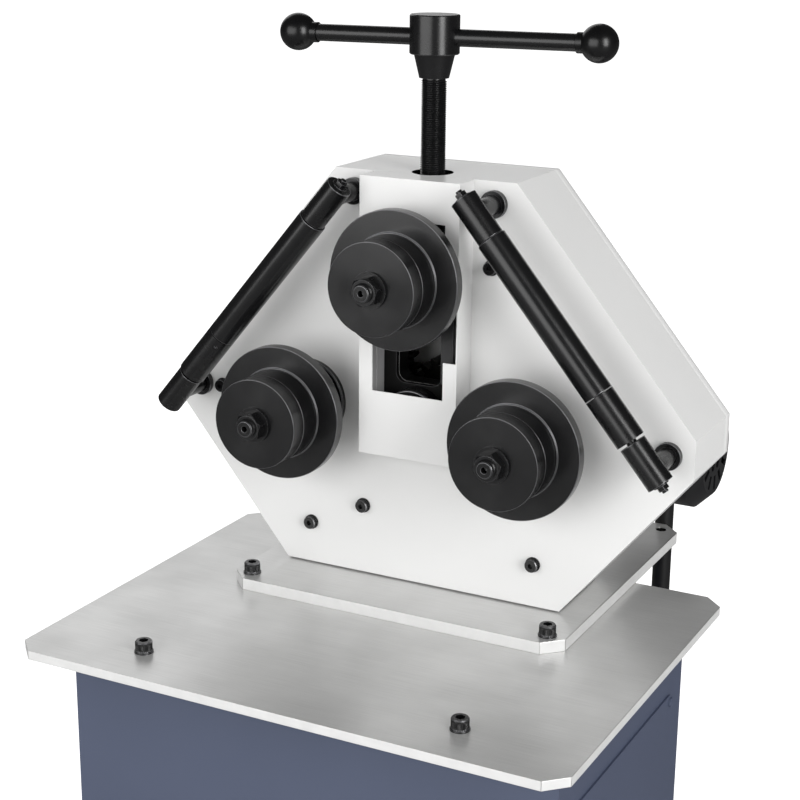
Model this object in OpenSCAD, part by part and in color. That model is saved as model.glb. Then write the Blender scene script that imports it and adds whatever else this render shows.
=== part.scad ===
// Ring roller: three overhung rollers on an octagonal gear head, two slanted guide rollers,
// a screw-down top roller and a geared motor, on a sheet steel stand.
// +Z is up, the rollers face -Y, and the origin is the centre of the stand's foot on the floor.

/* [Stand] */
// Height of the table's top face above the floor
table_top_z = 780; // [720:5:880]
// Width of the table plate
table_w = 550; // [520:2:620]
// Depth of the table plate
table_d = 426; // [420:2:480]
// Front edge of the table, ahead of the stand's centre
table_front = 217.5; // [210:0.5:240]
// Thickness of the table plate
table_t = 9; // [6:0.5:15]
// Corner cut of the table plate
table_cut = 18.5; // [5:0.5:25]
// Width of the cabinet
cabinet_w = 498; // [460:2:510]
// Depth of the cabinet
cabinet_d = 318; // [300:2:330]
// Thickness of the cabinet's sheet
cabinet_t = 2.5; // [2:0.5:4]
// Width of the flange that the table is bolted to
top_flange_w = 18; // [18:1:24]
// Width of the flange on the floor
foot_flange_w = 42; // [36:1:60]
// Thickness of the flange on the floor
foot_flange_t = 5; // [4:0.5:8]
// Diameter of the floor anchor holes
anchor_d = 14; // [10:0.5:18]
// Cabinet edge to side panel edge
panel_margin = 29; // [24:1:36]
// Height of the side panels
panel_h = 520; // [400:10:560]
// Cabinet top to the side panels' top edge
panel_drop = 62.4; // [50:0.2:80]
// Thickness of the side panels
panel_t = 2; // [1.5:0.5:3]

/* [Base plate] */
// Width of the base plate
base_w = 360; // [330:2:400]
// Depth of the base plate
base_d = 353.5; // [330:0.5:400]
// Thickness of the base plate
base_t = 12; // [10:0.5:16]
// Corner cut of the base plate
base_cut = 18; // [5:0.5:24]
// Head's front face to the base plate's front edge
base_lead = 71.6; // [60:0.2:90]
// Distance of the base plate's corner holes from the middle plane
base_hole_x = 161.5; // [140:0.5:165]
// Base plate's front edge to its front holes
base_hole_front = 18.2; // [12:0.2:20]
// Base plate's rear edge to its rear holes
base_hole_rear = 17; // [16:0.5:24]
// Diameter of the clearance holes in both plates
plate_hole_d = 11; // [10.5:0.5:13]

/* [Head] */
// Head's front face behind the stand's centre
head_y = 73; // [60:1:90]
// Depth of the head, front face to back face
head_d = 101; // [95:1:120]
// Half width of the head's top
head_top_half = 94.6; // [90:0.2:110]
// Half width of the head at its widest
head_mid_half = 276.6; // [270:0.2:300]
// Half width of the head's foot
head_foot_half = 150.9; // [140:0.2:160]
// Drive axis up to the head's top
head_rise = 233.9; // [228:0.1:250]
// Drive axis down to the head's foot
head_drop = 174.7; // [165:0.1:190]
// Drive axis up to the upper end of the upright sides
head_side_up = 16.2; // [10:0.2:30]
// Drive axis down to the lower end of the upright sides
head_side_down = 21.4; // [10:0.2:30]
// Height of the machined pads under the head
pad_h = 1.5; // [1:0.5:3]
// Thickness of the head's front wall
front_wall_t = 20; // [18:1:22]
// Thickness of the head's side walls
side_wall_t = 12; // [10:1:14]
// Thickness of the back plate
back_plate_t = 12; // [10:1:14]

/* [Front cover and slideway] */
// Half width of the front cover
cover_half = 52; // [50:0.5:56]
// How far the cover stands off the head's face
cover_d = 30.5; // [28:0.5:34]
// Drive axis down to the cover's lower edge
cover_drop = 37.1; // [34:0.1:44]
// Thickness of the cover's sheet
cover_t = 1.5; // [1:0.1:2]
// Half width of the window
window_half = 37.5; // [36:0.5:40]
// Drive axis up to the window's lower edge
window_low = 27.4; // [24:0.2:32]
// Drive axis up to the window's upper edge
window_high = 194.4; // [190:0.2:200]
// Drive axis up to the notch's lower edge
notch_low = 64.4; // [58:0.2:70]
// Drive axis up to the notch's upper edge
notch_high = 155; // [148:0.5:170]
// Depth of the slideway's rails
rail_d = 20.5; // [18:0.5:22]
// Middle plane to the gib strip's inner side
gib_inner = 30.6; // [30:0.1:32]
// Width of the gib strip
gib_w = 12.5; // [11:0.5:14]
// Thickness of the wear plate
wear_t = 6; // [5:0.5:7]
// Half width of the slot behind the window
slot_half = 24; // [23:0.5:26]
// Corner radius at the slot's lower end
slot_r = 9.5; // [6:0.5:11]

/* [Rollers] */
// Distance of each lower roller from the middle plane, which sets the gears' module
roller_x = 124; // [120:1:130]
// Top roller's height above the drive axis
top_roller_rise = 144.5; // [143:0.5:148]
// Diameter of the flange discs
flange_d = 132; // [120:1:134]
// Diameter of the hub discs
hub_d = 87.4; // [80:0.2:90]
// Head's face to the rear face of the flange disc
flange_back = 51; // [48:0.5:56]
// Thickness of the flange disc
flange_t = 11; // [9:0.5:14]
// Thickness of the inner hub disc
inner_hub_t = 23.2; // [20:0.1:30]
// Thickness of the outer hub disc
outer_hub_t = 18.3; // [15:0.1:24]
// Diameter of the roller shafts
shaft_d = 30; // [28:0.5:30]
// Diameter of the shafts' threaded ends
shaft_thread_d = 18; // [14:0.5:20]
// Outer diameter of the nuts' washers
roller_washer_d = 34; // [32:0.5:38]
// Thickness of the nuts' washers
roller_washer_t = 3; // [2:0.5:4]
// Width across the flats of the shaft nuts
roller_nut_af = 24.6; // [24:0.2:27]
// Height of the shaft nuts
roller_nut_h = 10; // [8:0.5:14]

/* [Screw and handle] */
// Head's face back to the screw's axis
screw_y = 18.25; // [17:0.25:20]
// Diameter of the pressure screw
screw_d = 24; // [22:0.5:26]
// Diameter of the hole in the head's top
top_hole_d = 39.6; // [38:0.2:42]
// Drive axis up to the handle hub's lower face
handle_rise = 343.2; // [340:0.2:360]
// Diameter of the handle's hub
handle_hub_d = 46.6; // [42:0.2:50]
// Height of the handle's hub
handle_hub_h = 36.1; // [30:0.1:40]
// Height of the cone under the hub
cone_h = 21.6; // [16:0.2:28]
// Diameter of the cone's upper end
cone_top_d = 38.3; // [36:0.1:42]
// Diameter of the cone's lower end
cone_low_d = 27.9; // [27:0.1:32]
// Diameter of the sliding handle bar
bar_d = 16; // [14:0.5:18]
// Distance between the centres of the handle's balls
bar_span = 292.3; // [260:0.5:320]
// How far the bar is slid towards its right end
bar_shift = 9.5; // [0:0.5:20]
// Turn of the bar as it stands
bar_angle = 6.84; // [0:0.5:10]
// Diameter of the handle's balls
ball_d = 35; // [30:0.5:40]

/* [Guides] */
// Middle plane to a guide's upper end
guide_top_x = 63.5; // [62:0.5:66]
// Drive axis up to a guide's upper end
guide_top_rise = 224.4; // [220:0.2:230]
// Middle plane to a guide's lower end
guide_low_x = 261.5; // [255:0.5:268]
// Drive axis down to a guide's lower end
guide_low_drop = 12.4; // [8:0.2:18]
// Head's face to the guides' axes
guide_lead = 48; // [46:0.5:56]
// Diameter of the guide roller tubes and set collars
guide_tube_d = 28; // [27:0.2:31]
// Diameter of the guides' end pieces
guide_end_d = 25.5; // [23:0.5:27]
// Length of the guides' end pieces
guide_end_len = 44; // [40:0.5:48]
// Length of the right guide's roller tube
guide_tube_len = 169; // [150:1:175]
// Length of the right guide's set collar
set_collar_len = 49; // [40:0.5:50]
// Diameter of the guides' axles
guide_axle_d = 10; // [8:0.5:12]
// Diameter of the arms that carry the guides
arm_d = 18; // [16:0.5:20]
// Guide's end to the arm
arm_inset = 15; // [13:0.5:18]
// Diameter of the collars round the arms
arm_collar_d = 26; // [24:0.5:30]
// Thickness of the collars round the arms
arm_collar_t = 6; // [4:0.5:8]

/* [Drive] */
// Teeth on each roller gear
gear_teeth = 42; // [42:1:42]
// Teeth on the drive pinion
pinion_teeth = 20; // [20:1:20]
// Width of the gears
gear_w = 22; // [18:1:22]
// Drive axis down to the motor's axis
worm_drop = 55; // [50:1:60]
// Head's face back to the motor's axis
motor_y = 188; // [186:1:196]
// Diameter of the motor's body over its ribs
motor_d = 96; // [90:1:100]
// Middle plane to the motor's flange
motor_start = 64; // [62:1:70]
// Middle plane to the fan cowl's rim
cowl_start = 207; // [202:1:212]
// Middle plane to the fan cowl's shoulder
cowl_shoulder = 225; // [220:1:230]
// Middle plane to the fan cowl's end
cowl_end = 240; // [236:1:245]
// Diameter of the fan cowl
cowl_d = 114; // [110:1:118]
// Diameter of the fan cowl's end disc
cowl_end_d = 84; // [76:1:90]
// Diameter of the cable conduit
conduit_d = 20; // [16:1:24]
// Base plate's rear edge to the conduit's upright run
conduit_clear = 3.1; // [2:0.1:10]
// Conduit's entry in the cabinet above the floor
conduit_low_z = 480; // [400:10:600]

/* [Hidden] */
$fn = 96;

// Overrun of every cut past the face it leaves
cut = 1;
// Radial gap of running fits and of screws in their holes
run_gap = 0.05;
// Gap between faces that move past each other
face_gap = 0.3;
// Joint line between two pieces that are clamped together
seam = 0.1;
// Small edge break on turned parts
edge = 1;
// Edge break on screws and thin plates
fine_edge = 0.5;

// Heights and the drive axis
base_top_z = table_top_z + base_t;
drive_z = base_top_z + pad_h + head_drop;
cabinet_h = table_top_z - table_t;
head_back = head_d - back_plate_t;
side_slope = (head_mid_half - head_top_half) / (head_rise - head_side_up);

// Metric fastener sizes
m10_d = 10;
m10_head_d = 16;
m10_head_h = 10;
m10_nut_af = 17;
m10_nut_h = 8;
m10_washer_d = 18;
m10_washer_t = 1.6;
m10_sink_d = 19;
m10_sink_h = 5;
m10_sink_key_af = 6;
m8_d = 8;
m8_head_d = 13;
m8_low_head_h = 5;
m8_washer_d = 15;
m8_washer_t = 1.6;
m8_key_af = 5;
m8_key_depth = 3;
m10_key_af = 8;
m10_key_depth = 5;
m6_d = 6;
m6_head_d = 10;
m6_head_h = 6;
m6_flat_head_h = 2.5;
m6_key_af = 5;
m6_key_depth = 3;

// Places shared by the stand's parts
table_bolt_x = base_hole_x;
front_bolt_y = -cabinet_d / 2 - top_flange_w / 2;
base_bolt_y = head_y - base_lead + base_hole_front;
base_rear_y = head_y - base_lead + base_d - base_hole_rear;
head_screw_x = head_foot_half - 2 * side_wall_t;
head_screw_in = 20;
pad_w = 2 * side_wall_t;
pad_in = 8;
anchor_x = cabinet_w / 2 - foot_flange_w;
anchor_y = cabinet_d / 2 + foot_flange_w / 2;
panel_r = 12;
panel_screw_in = 8;
access_inset = 22;
access_cut = 4 * cabinet_t;
panel_screw_grip = panel_t + 2 * cabinet_t;
panel_len = cabinet_d - 2 * panel_margin;
panel_top_z = cabinet_h - panel_drop;
panel_mid_z = panel_top_z - panel_h / 2;

// Bearings, as outer diameter, bore and width
roller_bearing = [62, shaft_d, 16];
pinion_bearing = [47, 25, 12];
bearing_race = 5;
bearing_recess = 1.5;
bearing_seat = 16;
left_cap_d = 82;
right_cap_d = 66;
cap_t = 6.5;
rear_cap_d = 80;
rear_cap_t = 12;
boss_d = 60;
boss_h = 22;
shoulder_d = 40;

// Slide, screw and nut, from the drive axis
slide_below = 31;
slide_above = 40;
slide_low = top_roller_rise - slide_below;
slide_high = top_roller_rise + slide_above;
rail_short = 6;
rail_high = head_rise - side_wall_t - rail_short;
gib_low = 40.4;
wear_high = 201;
wear_low = -34;
slot_low = 32.3;
groove_y = 21;
groove_w = 2.4;
rail_inner = window_half;
rail_w = cover_half - cover_t - face_gap - window_half;
rail_low = -20;
rail_screw_in = 14;
rail_screw_shares = [0.24, 0.62, 0.92];
rail_screws_at = [
    for (x = [-rail_inner - rail_w / 2, gib_inner + gib_w / 2], share = rail_screw_shares)
        [x, share * rail_high]
];
slide_back = 57;
slide_rear_half = 34;
bush_wall = 4;
bush_len = 20;
thrust_d = 34;
thrust_h = 6;
thrust_pocket = 7.2;
thrust_cap_h = 8;
thrust_cap_gap = 1.5;
thrust_cap_half = slot_half - thrust_cap_gap;
thrust_split = 0.6;
nut_flange_d = 50;
nut_flange_h = 8;
nut_recess = 8;
nut_tail = 10;
hub_bore_top = 3;
bar_rise = 15.5;
ball_neck_d = 19;
ball_neck_len = 3;

// Gears by the involute rule
pressure_angle = 20;
backlash_share = 0.06;
root_share = 1.25;
gear_module = 2 * roller_x / (gear_teeth + pinion_teeth);
gear_front = 62;
gear_back = gear_front + gear_w;
gear_hub_d = 60;
gear_hub_front = 58;
pinion_tail = 215;
pinion_mid_d = 34;

// Guides
guide_run_x = guide_low_x - guide_top_x;
guide_run_z = guide_top_rise + guide_low_drop;
guide_len = sqrt(guide_run_x * guide_run_x + guide_run_z * guide_run_z);
guide_lean = atan2(guide_run_x, guide_run_z);
tube_gap = 0.4;
tube_bore_gap = 0.08;
axle_over = 8;
blind_end_t = 6;
axle_washer_d = 15;
axle_washer_t = 1.5;
axle_nut_af = 10;
axle_nut_h = 4;
axle_end_d = 6;
grub_d = 5;
grub_in = 48;
grub_in_right = 12;
grub_turn = 27;
grub_turn_right = 150;
left_collar_more = 7;
collar_end = guide_end_len + guide_tube_len + set_collar_len;
arm_seat = 16;

// Face screws as shares of the head's widest half width and of its rise
face_screw_shares = [
    [0.443, -0.5625], [-0.443, -0.5625], [0.8218, -0.005], [-0.8218, -0.005],
    [0.258, 0.6545], [-0.258, 0.6545], [-0.2263, -0.442]
];
face_screws_at = [for (s = face_screw_shares) [s[0] * head_mid_half, s[1] * head_rise]];
face_screw_depth = 14;

// Gearbox and motor
flange_plate_t = 10;
flange_plate_d = 150;
flange_bolt_d = 128;
flange_bolts = 6;
gearbox_front = 139;
gearbox_back = 237;
gearbox_r = 54;
gearbox_chamfer = 6;
gearbox_neck_r = 48;
worm_r = 36;
worm_end_x = 58;
worm_cap_r = 30;
worm_cap_t = 4;
body_half_w = 52;
web_t = 4;
web_h = 60;
web_short = 10;
motor_flange_r = 56;
motor_flange_t = 9;
motor_core_r = 42;
motor_ribs = 28;
motor_rib_t = 2.4;
shield_t = 8;
core_short = 8;
cowl_t = 1.8;
cowl_slots = 12;
cowl_slot_w = 6;
cowl_slot_from_share = 0.56;
cowl_slot_len_share = 0.34;
cowl_holes = 6;
cowl_hole_d = 9;
cowl_hole_at_share = 0.34;
cowl_cut_back = 6;
box_left = 102;
box_right = 172;
box_low = -worm_drop - 44;
box_high = -worm_drop + 12;
box_over = 24;
box_lid_t = 7;
box_lid_over = 1.5;
box_lid_r = 5;
conduit_r = 45;
conduit_x = 154.5;
conduit_y = base_d - base_lead + conduit_clear + conduit_d / 2;
conduit_bend_y = conduit_y - conduit_r;
conduit_foot_z = conduit_low_z - drive_z;
wall_y = cabinet_d / 2 - head_y;
gland_d = 28;
gland_len = 12;

// Rear plate's screws: from the head's outline to them, and their length in the housing
rear_screw_inset = 6.5;
rear_screw_in = 20;

// Rollers, from the head's face forwards
land_over = 1.25;
land_h = 1.5;
flange_front = flange_back + flange_t;
inner_back = flange_front + land_h;
inner_front = inner_back + inner_hub_t;
outer_front = inner_front + outer_hub_t;
washer_front = outer_front + roller_washer_t;
nut_front = washer_front + roller_nut_h;
nut_turn = 15;
nut_face_share = 0.95;
nut_cone_r = roller_nut_af / 2 / cos(30) + edge;
nut_face_r = nut_face_share * roller_nut_af / 2;
nut_cone_h = (nut_cone_r - nut_face_r) * tan(30);
shaft_over = 5;
centre_hole_d = 6;
centre_hole_depth = 9;

// Outline of the head, which the walls follow at an inset
function head_outline(inset = 0) = let (
        upper = sqrt(1 + side_slope * side_slope) * inset,
        low_slope = (head_mid_half - head_foot_half) / (head_drop - head_side_down),
        lower = sqrt(1 + low_slope * low_slope) * inset,
        top_x = head_top_half + side_slope * inset - upper,
        mid_x = head_mid_half - inset,
        foot_x = head_foot_half + low_slope * inset - lower,
        mid_up = head_side_up + (upper - inset) / side_slope,
        mid_down = head_side_down + (lower - inset) / low_slope
    ) [
        [-top_x, head_rise - inset], [top_x, head_rise - inset],
        [mid_x, mid_up], [mid_x, -mid_down],
        [foot_x, -head_drop + inset], [-foot_x, -head_drop + inset],
        [-mid_x, -mid_down], [-mid_x, mid_up]
    ];

rear_screws_at = let (o = head_outline(rear_screw_inset), n = len(head_outline())) [
    for (i = [0 : n - 1]) o[i],
    for (i = [1, 4, 5, 7]) (o[i] + o[(i + 1) % n]) / 2
];

// Angle of a tooth flank at radius r, for a gear of n teeth with the given module
function involute(a) = tan(a) * 180 / PI - a;
function flank(n, r, base_r) = 90 / n * (1 - backlash_share) + involute(pressure_angle)
    - (r > base_r ? involute(acos(base_r / r)) : 0);
function gear_points(n, turn) = let (
        pitch_r = n * gear_module / 2,
        base_r = pitch_r * cos(pressure_angle),
        radii = [pitch_r - root_share * gear_module, pitch_r, pitch_r + gear_module]
    ) [
        for (i = [0 : n - 1], s = [-1, 1], k = (s < 0 ? [0, 1, 2] : [2, 1, 0]))
            let (a = turn + 360 * i / n + s * flank(n, radii[k], base_r))
            [radii[k] * cos(a), radii[k] * sin(a)]
    ];

module at_drive() {
    translate([0, head_y, drive_z]) children();
}

module at_top_roller() {
    at_drive() translate([0, 0, top_roller_rise]) children();
}

module at_lower_roller(side) {
    at_drive() translate([side * roller_x, 0, 0]) children();
}

// A plane shape in X and Z, carried along Y from one place to another
module along_y(from, to) {
    translate([0, to, 0]) rotate([90, 0, 0]) linear_extrude(to - from) children();
}

module rod_y(from, to, d) {
    translate([0, to, 0]) rotate([90, 0, 0]) cylinder(h = to - from, d = d);
}

module rod_x(from, to, d) {
    translate([from, 0, 0]) rotate([0, 90, 0]) cylinder(h = to - from, d = d);
}

// A turned shape about Y, from points given as radius and place along Y
module turned_y(points) {
    rotate([-90, 0, 0]) rotate_extrude() polygon(points);
}

module block(low, high) {
    translate(low) cube([high[0] - low[0], high[1] - low[1], high[2] - low[2]]);
}

module cut_corner_plate(w, d, t, corner) {
    linear_extrude(t) polygon([
        [-w / 2 + corner, 0], [w / 2 - corner, 0], [w / 2, corner], [w / 2, d - corner],
        [w / 2 - corner, d], [-w / 2 + corner, d], [-w / 2, d - corner], [-w / 2, corner]
    ]);
}

module rounded_rect(w, h, r) {
    square([w - 2 * r, h], center = true);
    square([w, h - 2 * r], center = true);
    for (x = [-1, 1], y = [-1, 1])
        translate([x * (w / 2 - r), y * (h / 2 - r)]) circle(r);
}

// A hexagon given by its width across the flats
module hexagon(af, h) {
    cylinder(h = h, d = af / cos(30), $fn = 6);
}

// A socket head screw with its head up from z = 0 and its shank down
module socket_screw(d, len, head_d, head_h, key_af, key_depth) {
    difference() {
        union() {
            rotate_extrude() polygon([
                [0, 0], [head_d / 2, 0], [head_d / 2, head_h - edge],
                [head_d / 2 - edge, head_h], [0, head_h]
            ]);
            translate([0, 0, -len]) cylinder(h = len + cut, d = d);
        }
        translate([0, 0, head_h - key_depth]) hexagon(key_af, key_depth + cut);
    }
}

module ring(outer_d, bore_d, h) {
    difference() {
        cylinder(h = h, d = outer_d);
        translate([0, 0, -cut]) cylinder(h = h + 2 * cut, d = bore_d);
    }
}

// Stand

module cabinet() {
    color("slategray") difference() {
        union() {
            translate([0, 0, cabinet_h / 2]) cube([cabinet_w, cabinet_d, cabinet_h], center = true);
            translate([0, 0, cabinet_h - cabinet_t / 2])
                cube([cabinet_w, cabinet_d + 2 * top_flange_w, cabinet_t], center = true);
            translate([0, 0, foot_flange_t / 2])
                cube([cabinet_w, cabinet_d + 2 * foot_flange_w, foot_flange_t], center = true);
        }
        translate([0, 0, cabinet_h / 2])
            cube([cabinet_w - 2 * cabinet_t, cabinet_d - 2 * cabinet_t, cabinet_h + 2 * cut], center = true);
        for (x = [-1, 1])
            translate([x * cabinet_w / 2, 0, panel_mid_z])
                cube([access_cut, panel_len - 2 * access_inset, panel_h - 2 * access_inset], center = true);
        for (x = [-1, 1], y = [-1, 1])
            translate([x * anchor_x, y * anchor_y, -cut])
                cylinder(h = foot_flange_t + 2 * cut, d = anchor_d);
        for (x = [-1, 1], y = [-1, 1])
            translate([x * table_bolt_x, y * front_bolt_y, cabinet_h - cabinet_t - cut])
                cylinder(h = cabinet_t + 2 * cut, d = plate_hole_d);
        panel_screw_places() translate([0, 0, -panel_t - cabinet_t - cut])
            cylinder(h = panel_t + cabinet_t + 2 * cut, d = m6_d);
        translate([conduit_x, cabinet_d / 2 - cabinet_t - cut, conduit_low_z])
            rod_y(0, cabinet_t + 2 * cut, conduit_d + 2 * run_gap);
    }
}

// Places of the side panels' screws, with +Z pointing out of the panel
module panel_screw_places() {
    for (x = [-1, 1], y = [-1, 1], z = [-1, 0, 1])
        translate([
            x * (cabinet_w / 2 + panel_t),
            y * (panel_len / 2 - panel_screw_in),
            panel_mid_z + z * (panel_h / 2 - panel_screw_in)
        ]) rotate([0, x * 90, 0]) children();
}

module side_panels() {
    color("slategray") for (x = [-1, 1]) difference() {
        translate([x * (cabinet_w + panel_t) / 2, 0, panel_mid_z]) rotate([90, 0, 90])
            translate([0, 0, -panel_t / 2]) linear_extrude(panel_t) rounded_rect(panel_len, panel_h, panel_r);
        panel_screw_places() translate([0, 0, -panel_t - cut])
            cylinder(h = panel_t + 2 * cut, d = m6_d);
    }
}

module panel_screws() {
    color("dimgray") panel_screw_places() {
        rotate_extrude() polygon([
            [0, 0], [m6_head_d / 2, 0], [m6_head_d / 2 - fine_edge, m6_flat_head_h - fine_edge],
            [m6_head_d / 2 - m6_flat_head_h, m6_flat_head_h], [0, m6_flat_head_h]
        ]);
        translate([0, 0, -panel_screw_grip]) cylinder(h = panel_screw_grip + edge, d = m6_d);
    }
}

// Places of the screws that hold the head and the table's rear edge, under the base plate
module head_screw_places() {
    for (x = [-1, 1], y = [head_screw_in, head_d - head_screw_in])
        translate([x * head_screw_x, head_y + y, table_top_z]) children();
}

module rear_table_screw_places() {
    for (x = [-1, 1])
        translate([x * table_bolt_x, -front_bolt_y, table_top_z]) children();
}

module table_plate() {
    color("silver") difference() {
        translate([0, -table_front, cabinet_h]) cut_corner_plate(table_w, table_d, table_t, table_cut);
        for (x = [-1, 1], y = [front_bolt_y, base_bolt_y])
            translate([x * table_bolt_x, y, cabinet_h - cut])
                cylinder(h = table_t + 2 * cut, d = plate_hole_d);
        rear_table_screw_places() mirror([0, 0, 1]) sunk_hole(table_t);
    }
}

// A hole for a countersunk screw whose head lies at z = 0 and whose shank runs up
module sunk_hole(t) {
    translate([0, 0, -cut]) cylinder(h = t + 2 * cut, d = plate_hole_d);
    rotate_extrude() polygon([
        [0, -cut], [m10_sink_d / 2 + cut, -cut], [m10_sink_d / 2, 0],
        [plate_hole_d / 2, m10_sink_h], [0, m10_sink_h]
    ]);
}

module sunk_screw(len) {
    difference() {
        rotate_extrude() polygon([
            [0, 0], [m10_sink_d / 2 - face_gap, 0], [m10_d / 2, m10_sink_h], [m10_d / 2, len], [0, len]
        ]);
        translate([0, 0, -cut]) hexagon(m10_sink_key_af, m10_sink_h / 2 + cut);
    }
}

module base_plate() {
    color("silver") difference() {
        translate([0, head_y - base_lead, table_top_z]) cut_corner_plate(base_w, base_d, base_t, base_cut);
        for (x = [-1, 1], y = [base_bolt_y, base_rear_y])
            translate([x * base_hole_x, y, table_top_z - cut])
                cylinder(h = base_t + 2 * cut, d = plate_hole_d);
        head_screw_places() sunk_hole(base_t);
    }
}

module plate_bolts() {
    len = table_t + m10_nut_h + 2 * m10_washer_t;
    color("dimgray") for (x = [-1, 1]) {
        translate([x * table_bolt_x, front_bolt_y, table_top_z + m10_washer_t])
            socket_screw(m10_d, len + cabinet_t, m10_head_d, m10_head_h, m10_key_af, m10_key_depth);
        translate([x * base_hole_x, base_bolt_y, base_top_z + m10_washer_t])
            socket_screw(m10_d, len + base_t, m10_head_d, m10_head_h, m10_key_af, m10_key_depth);
    }
}

module plate_washers() {
    color("dimgray") for (x = [-1, 1]) {
        translate([x * table_bolt_x, front_bolt_y, table_top_z])
            ring(m10_washer_d, plate_hole_d, m10_washer_t);
        translate([x * base_hole_x, base_bolt_y, base_top_z])
            ring(m10_washer_d, plate_hole_d, m10_washer_t);
    }
}

module plate_nuts() {
    color("dimgray") for (x = [-1, 1]) {
        translate([x * table_bolt_x, front_bolt_y, cabinet_h - cabinet_t - m10_nut_h]) m10_nut();
        translate([x * base_hole_x, base_bolt_y, cabinet_h - m10_nut_h]) m10_nut();
        translate([x * table_bolt_x, -front_bolt_y, cabinet_h - cabinet_t - m10_nut_h]) m10_nut();
    }
}

module m10_nut() {
    difference() {
        hexagon(m10_nut_af, m10_nut_h);
        translate([0, 0, -cut]) cylinder(h = m10_nut_h + 2 * cut, d = m10_d);
    }
}

module countersunk_screws() {
    color("dimgray") {
        head_screw_places() sunk_screw(base_t + pad_h + side_wall_t);
        rear_table_screw_places() mirror([0, 0, 1]) sunk_screw(table_t + cabinet_t + m10_nut_h + cut);
    }
}

// Head

module head_pads() {
    for (x = [-1, 1], y = [pad_in, head_d - pad_w - pad_in])
        translate([x * head_screw_x - pad_w / 2, y, -head_drop - pad_h])
            cube([pad_w, pad_w, pad_h + cut]);
}

// A bar along Y with the slot's rounded lower corners
module slot_bar(half, from, to, low, high) {
    block([-half, from, low + slot_r], [half, to, high]);
    block([-half + slot_r, from, low], [half - slot_r, to, low + slot_r + cut]);
    for (s = [-1, 1]) translate([s * (half - slot_r), 0, low + slot_r]) rod_y(from, to, 2 * slot_r);
}

module head_housing() {
    color("whitesmoke") at_drive() difference() {
        union() {
            difference() {
                along_y(0, head_back) polygon(head_outline());
                along_y(front_wall_t, head_back + cut) polygon(head_outline(side_wall_t));
            }
            intersection() {
                head_pads();
                block([-head_mid_half, 0, -head_drop - pad_h], [head_mid_half, head_back, -head_drop + cut]);
            }
        }
        for (s = [-1, 1]) translate([s * roller_x, 0, 0]) {
            rod_y(-cut, bearing_seat, roller_bearing[0]);
            rod_y(0, front_wall_t + cut, roller_bearing[0] - 2 * bearing_race);
        }
        rod_y(-cut, bearing_seat, pinion_bearing[0]);
        rod_y(0, front_wall_t + cut, pinion_bearing[0] - 2 * bearing_race);
        slot_bar(slot_half, -cut, front_wall_t + cut, slot_low, head_rise - side_wall_t);
        translate([0, screw_y, 0]) {
            translate([0, 0, head_rise - side_wall_t - cut])
                cylinder(h = side_wall_t + 2 * cut, d = top_hole_d);
            translate([0, 0, head_rise - side_wall_t - nut_flange_h])
                cylinder(h = nut_flange_h, d = nut_flange_d + 2 * face_gap);
        }
        guide_arm_places() rod_y(-cut, arm_seat, arm_d);
        for (p = face_screws_at) translate([p[0], 0, p[1]])
            rod_y(-cut, face_screw_depth, m8_d + 2 * run_gap);
        for (p = rail_screws_at) translate([p[0], 0, p[1]])
            rod_y(-cut, rail_screw_in + seam, m6_d + 2 * run_gap);
        rear_screw_places() rod_y(head_back - rear_screw_in, head_back + cut, m6_d + 2 * run_gap);
        at_head_screws() translate([0, 0, -cut])
            cylinder(h = pad_h + side_wall_t + cut, d = m10_d + 2 * run_gap);
    }
}

module at_head_screws() {
    for (x = [-1, 1], y = [head_screw_in, head_d - head_screw_in])
        translate([x * head_screw_x, y, -head_drop - pad_h]) children();
}

module rear_screw_places() {
    for (p = rear_screws_at) translate([p[0], 0, p[1]]) children();
}

module rear_plate() {
    color("gainsboro") at_drive() difference() {
        union() {
            along_y(head_back, head_d) polygon(head_outline());
            intersection() {
                head_pads();
                block(
                    [-head_mid_half, head_back, -head_drop - pad_h],
                    [head_mid_half, head_d, -head_drop + cut]
                );
            }
        }
        for (s = [-1, 1]) translate([s * roller_x, 0, 0])
            rod_y(head_back - cut, head_d + cut, roller_bearing[0]);
        rod_y(head_back - cut, head_d + cut, pinion_bearing[0]);
        rear_screw_places() rod_y(head_back - cut, head_d + cut, m6_d + 2 * run_gap);
        rear_screw_places() rod_y(head_d - m6_head_h, head_d + cut, m6_head_d + 2 * face_gap);
    }
}

module rear_plate_screws() {
    len = back_plate_t - m6_head_h + rear_screw_in - cut;
    color("dimgray") at_drive() rear_screw_places() translate([0, head_d - m6_head_h, 0]) rotate([-90, 0, 0])
        socket_screw(m6_d, len, m6_head_d, m6_head_h, m6_key_af, m6_key_depth);
}

module front_cover() {
    inner = cover_half - cover_t;
    color("whitesmoke") at_drive() difference() {
        block([-cover_half, -cover_d, -cover_drop], [cover_half, 0, head_rise]);
        block([-inner, -cover_d + cover_t, -cover_drop + cover_t], [inner, cut, head_rise - cover_t]);
        block([-window_half, -cover_d - cut, window_low], [window_half, 0, window_high]);
        block([0, -cover_d - cut, notch_low], [inner, 0, notch_high]);
        translate([0, screw_y, head_rise - side_wall_t]) cylinder(h = side_wall_t + cut, d = top_hole_d);
    }
}

// Rails, gib and their screws

module left_guide_rail() {
    color("silver") at_drive() difference() {
        block([-rail_inner - rail_w, -cover_d + cover_t, rail_low], [-rail_inner, 0, rail_high]);
        block(
            [-rail_inner - edge, -groove_y - groove_w / 2, rail_low - cut],
            [-rail_inner + cut, -groove_y + groove_w / 2, rail_high + cut]
        );
        for (k = rail_screw_shares) translate([-rail_inner - rail_w / 2, 0, k * rail_high]) {
            rod_y(-cover_d, cut, m6_d);
            rod_y(-cover_d, -rail_d + m6_head_h, m6_head_d);
        }
    }
}

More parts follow.
